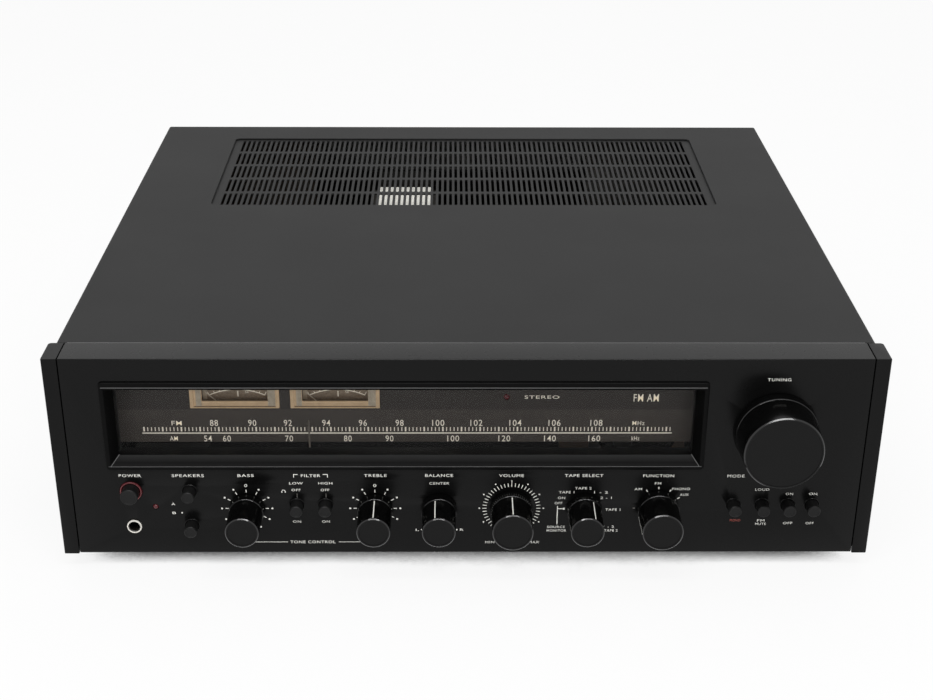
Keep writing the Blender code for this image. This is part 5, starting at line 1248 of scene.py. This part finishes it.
class RECEIVER_OT_rear(bpy.types.Operator):
    """Finishes the rear panel's connections and sets the case's screws"""
    bl_idname = "receiver.rear"
    bl_label = "Rear and screws"

    def execute(self, context):
        refine("rear_panel", ["zinc_plated_steel"], 0.00015, 1)
        for node in ("fuse_holder", "cord_gland"):
            refine(node, ["phenolic_moulding"], 0.0003)
        refine("phono_jacks", ["nickel_plate"], 0.0001, 1)
        self.set_terminals("speaker_terminals", 8, ["red_insulator", "white_insulator"])
        self.set_terminals("antenna_terminals", 5, ["phenolic_moulding", "phenolic_moulding"])
        self.set_jacks(5)
        self.set_screws()
        return {"FINISHED"}

    def set_terminals(self, node, count, insulators):
        """Slotted screws with washers, whose insulators' colours take turns."""
        low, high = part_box(node)
        head = high.y - 3.0 * MM
        refine(node, ["phenolic_moulding", "nickel_plate"], 0.0003,
               choose=lambda face: int(face.calc_center_median().y > head + 0.05 * MM))
        pitch = (high.x - low.x) / count
        points = [(low.x + pitch * (i + 0.5), high.y, (low.z + high.z) / 2) for i in range(count)]
        washer = shape_object("washer", ring(3.95, 5.4, 0.7))
        halves = shape_object("halves", slotted_top(3.6, 0.7, 0.9))
        bm = bmesh.new()
        set_on(bm, halves, points, REARWARD, "nickel_plate")
        for i, label in enumerate(insulators):
            set_on(bm, washer, [(x, head, z) for x, _, z in points[i::2]], REARWARD, label, 1 + i)
        make_piece(f"{node}_screws", bm, ["nickel_plate", *insulators], "receiver_body")
        remove(washer, halves)

    def set_jacks(self, columns):
        """The phono jacks' coloured insulators: white in the upper row and red in the lower one."""
        low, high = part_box("phono_jacks")
        bm = bmesh.new()
        insulator = shape_object("insulator", ring(1.85, 3.4, 0.25))
        collar = shape_object("collar", ring(4.3, 6.0, 0.8))
        for index, share in enumerate((0.75, 0.25)):
            points = [(low.x + (high.x - low.x) * (i + 0.5) / columns, high.y, low.z + (high.z - low.z) * share)
                      for i in range(columns)]
            label = ("white_insulator", "red_insulator")[index]
            set_on(bm, insulator, points, REARWARD, label, index)
            set_on(bm, collar, [(x, high.y - 10 * MM, z) for x, _, z in points], REARWARD, label, index)
        make_piece("jack_insulators", bm, ["white_insulator", "red_insulator"], "receiver_body")
        remove(insulator, collar)

    def set_screws(self):
        """Pan-head screws with cross recesses: two on each side of the cover and eight on the back."""
        low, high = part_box("top_cover")
        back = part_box("phono_jacks")[0].y - 0.3 * MM
        left, right = [[(x, FRONT + y, BASE + SIDE_SCREWS_Z) for y in SIDE_SCREWS_Y] for x in (low.x, high.x)]
        rear = [(x, back, BASE + z) for z in REAR_SCREWS_Z for x in REAR_SCREWS_X]
        groups = [("side_screws_left", (0, -math.pi / 2, 0), left),
                  ("side_screws_right", (0, math.pi / 2, 0), right), ("rear_screws", REARWARD, rear)]
        head, cross = shape_object("head", dome(3.2, 1.4)), shape_object("cross", cross_bars(1.7, 0.5, 1.1, 1.45))
        for name, turn, points in groups:
            bm = bmesh.new()
            set_on(bm, head, points, turn, "satin_black_abs")
            # The darker cross stands for the painted shade of the recess
            set_on(bm, cross, points, turn, "polished_black_abs", 1)
            make_piece(name, bm, ["satin_black_abs", "polished_black_abs"], "receiver_body")
        remove(head, cross)


def set_on(bm, shape, points, turn, label, index=0):
    """Adds copies of a shape on these points to a bmesh, all turned the same way."""
    mesh = bpy.data.meshes.new("points")
    mesh.from_pydata(points, [], [])
    holder = bpy.data.objects.new("points", mesh)
    bpy.context.scene.collection.objects.link(holder)
    gather(bm, grow(tree_named("fasteners", points_tree), {
        "Shape": shape, "Points": holder, "Turn": turn, "Finish": finish(label)}), index=index)
    bpy.data.objects.remove(holder)


def ring(inner, outer, height):
    """A flat ring on Z = 0 with an eased outer edge, in mm."""
    bm = bmesh.new()
    profile = [(inner, 0), (outer, 0), (outer, height * 0.7), (outer - height * 0.3, height), (inner, height),
               (inner, 0)]
    lathe(bm, Vector((0, 0, 0)), profile, 24, axis="Z")
    close_seams(bm)
    return bm


def slotted_top(radius, height, slot):
    """The two halves of a slotted screw's head, on Z = 0, in mm."""
    bm = bmesh.new()
    first = math.asin(slot / 2 / radius)
    for side in (1, -1):
        turns = [first + (math.pi - 2 * first) * i / 10 for i in range(11)]
        low, high = [[bm.verts.new(Vector((radius * math.cos(a), side * radius * math.sin(a), z)) * MM)
                      for a in turns] for z in (0, height)]
        for face in [low, high] + [(low[i - 1], low[i], high[i], high[i - 1]) for i in range(len(turns))]:
            bm.faces.new(face)
    return bm


def dome(radius, height):
    """A domed screw head on Z = 0, in mm."""
    bm = bmesh.new()
    profile = eased([(0, 0), (radius, 0), (radius, height * 0.4), (radius * 0.75, height * 0.85), (0, height)],
                    0.3, 2)
    lathe(bm, Vector((0, 0, 0)), profile, 20, axis="Z")
    return bm


def cross_bars(reach, width, low, high):
    """The cross of a screw's recess, as one plus-shaped solid between two heights, in mm; the recess is not cut, and
    the cross's darker finish paints its shade.
    """
    half = width / 2
    corner = [(reach, -half), (reach, half), (half, half)]
    outline = []
    for _ in range(4):
        outline += corner
        corner = [(-y, x) for x, y in corner]
    bm = bmesh.new()
    lower, upper = [[bm.verts.new(Vector((x, y, z)) * MM) for x, y in outline] for z in (low, high)]
    for face in [lower, upper] + [(lower[i - 1], lower[i], upper[i], upper[i - 1]) for i in range(len(outline))]:
        bm.faces.new(face)
    return bm


# Stage

CAMERA_PLACE = (-0.00921, -1.01979, 0.54624)
CAMERA_PITCH, CAMERA_YAW, CAMERA_ROLL = 25.9514, -0.6152, 0.2814
CAMERA_LENS = 60.229
SOFTBOXES = [  # place, point it faces, width, depth and radiance
    ((0.0, 0.5, 2.0), (0.0, 0.2, 0.0), 2.6, 2.0, 0.6),
    ((0.0, -1.6, 1.8), (0.0, -0.1, 0.05), 1.8, 0.9, 1.2),
    ((0.0, -1.0, 1.6), (0.0, -0.2, 0.05), 1.8, 0.12, 21.0),
]
FILL = 0.5  # share of white that the surroundings give to what they light
# The floor's narrow shadow: how much open sky a spot sees within this reach, and how white it then looks
SHADOW_REACH = 0.06
SHADOW_RAMP = ((0.105, 0.02), (0.128, 0.21), (0.156, 0.64), (0.185, 0.84), (0.25, 1.0))
WHITENED = 0.88  # share of that white in what the camera sees of the floor


class RECEIVER_OT_stage(bpy.types.Operator):
    """Sets the pale floor, the soft studio light and the camera"""
    bl_idname = "receiver.stage"
    bl_label = "Stage"

    def execute(self, context):
        scene = context.scene
        data = bpy.data.cameras.new("photo_camera")
        data.lens = CAMERA_LENS
        data.sensor_width = 36
        data.clip_end = 50
        camera = bpy.data.objects.new("photo_camera", data)
        scene.collection.objects.link(camera)
        turn = (Matrix.Rotation(math.radians(CAMERA_YAW), 4, "Z")
                @ Matrix.Rotation(math.radians(90 - CAMERA_PITCH), 4, "X")
                @ Matrix.Rotation(math.radians(CAMERA_ROLL), 4, "Z"))
        camera.matrix_world = Matrix.Translation(CAMERA_PLACE) @ turn
        scene.camera = camera
        for i, (at, aim, width, depth, radiance) in enumerate(SOFTBOXES):
            light = bpy.data.lights.new(f"softbox_{i}", "AREA")
            light.shape = "RECTANGLE"
            light.size, light.size_y = width, depth
            light.energy = radiance * math.pi * width * depth
            lamp = bpy.data.objects.new(f"softbox_{i}", light)
            facing = (Vector(aim) - Vector(at)).to_track_quat("-Z", "Y")
            lamp.matrix_world = Matrix.Translation(at) @ facing.to_matrix().to_4x4()
            scene.collection.objects.link(lamp)
        world = bpy.data.worlds.new("studio")
        world.use_nodes = True
        world.node_tree.nodes["Background"].inputs["Color"].default_value = (*linear("ffffff"), 1)
        fill = math_node(world.node_tree, "MULTIPLY", seen_directly(world.node_tree), 1 - FILL)
        strength = math_node(world.node_tree, "ADD", fill, FILL)
        world.node_tree.links.new(strength, world.node_tree.nodes["Background"].inputs["Strength"])
        scene.world = world
        scene.view_settings.view_transform = "Standard"
        bm = bmesh.new()
        bmesh.ops.create_grid(bm, x_segments=8, y_segments=8, size=6.0)
        mesh = bpy.data.meshes.new("studio_floor")
        bm.to_mesh(mesh)
        bm.free()
        mesh.materials.append(floor_paper())
        floor = bpy.data.objects.new("studio_floor", mesh)
        scene.collection.objects.link(floor)
        return {"FINISHED"}


def seen_directly(tree):
    """1 for what looks straight at a surface, in a mirror or through glass, and 0 for light."""
    path = add_node(tree, "ShaderNodeLightPath")
    direct = math_node(tree, "MAXIMUM", path.outputs["Is Camera Ray"], path.outputs["Is Glossy Ray"])
    return math_node(tree, "MAXIMUM", direct, path.outputs["Is Transmission Ray"])


def floor_paper():
    """Matt white background paper, lifted to white for what looks straight at it, save in the
    narrow shadow where the object stands."""
    made = grained("background_paper", "f4f4f4", 0.9, 30.0, spread=0.01, specular=0.1)
    tree = made.node_tree
    shader = tree.nodes["Principled BSDF"]
    share = math_node(tree, "MULTIPLY", seen_directly(tree), WHITENED)
    contact = add_node(tree, "ShaderNodeAmbientOcclusion", {"Distance": SHADOW_REACH}, samples=16)
    shade = add_node(tree, "ShaderNodeValToRGB", links={"Fac": contact.outputs["AO"]})
    while len(shade.color_ramp.elements) < len(SHADOW_RAMP):
        shade.color_ramp.elements.new(0.5)
    for element, (opening, level) in zip(shade.color_ramp.elements, SHADOW_RAMP):
        element.position = opening
        element.color = (level, level, level, 1)
    white = add_node(tree, "ShaderNodeEmission", {"Strength": 1.0}, {"Color": shade.outputs["Color"]})
    mixed = add_node(tree, "ShaderNodeMixShader",
                     links={0: share, 1: shader.outputs["BSDF"], 2: white.outputs["Emission"]})
    tree.links.new(mixed.outputs["Shader"], tree.nodes["Material Output"].inputs["Surface"])
    return made


class RECEIVER_PT_looks(bpy.types.Panel):
    """Lists the receiver's sizes, colours and building steps"""
    bl_idname = "RECEIVER_PT_looks"
    bl_label = "Receiver"
    bl_space_type = "VIEW_3D"
    bl_region_type = "UI"
    bl_category = "Receiver"

    def draw(self, context):
        for group in (context.scene.receiver_sizes, context.scene.receiver_colours):
            for name in group.__annotations__:
                self.layout.prop(group, name)
        for operator in OPERATORS:
            self.layout.operator(operator.bl_idname)


OPERATORS = [RECEIVER_OT_finishes, RECEIVER_OT_stage, RECEIVER_OT_case, RECEIVER_OT_grille, RECEIVER_OT_window,
             RECEIVER_OT_meters, RECEIVER_OT_knobs, RECEIVER_OT_buttons, RECEIVER_OT_lettering, RECEIVER_OT_works,
             RECEIVER_OT_rear]
CLASSES = [ReceiverSizes, ReceiverColours, *OPERATORS, RECEIVER_PT_looks]


def register():
    for cls in CLASSES:
        bpy.utils.register_class(cls)
    bpy.types.Scene.receiver_sizes = bpy.props.PointerProperty(type=ReceiverSizes)
    bpy.types.Scene.receiver_colours = bpy.props.PointerProperty(type=ReceiverColours)


def unregister():
    del bpy.types.Scene.receiver_colours
    del bpy.types.Scene.receiver_sizes
    for cls in reversed(CLASSES):
        bpy.utils.unregister_class(cls)


def main():
    register()
    for operator in OPERATORS:
        group, name = operator.bl_idname.split(".")
        getattr(getattr(bpy.ops, group), name)()


if __name__ == "__main__":
    main()
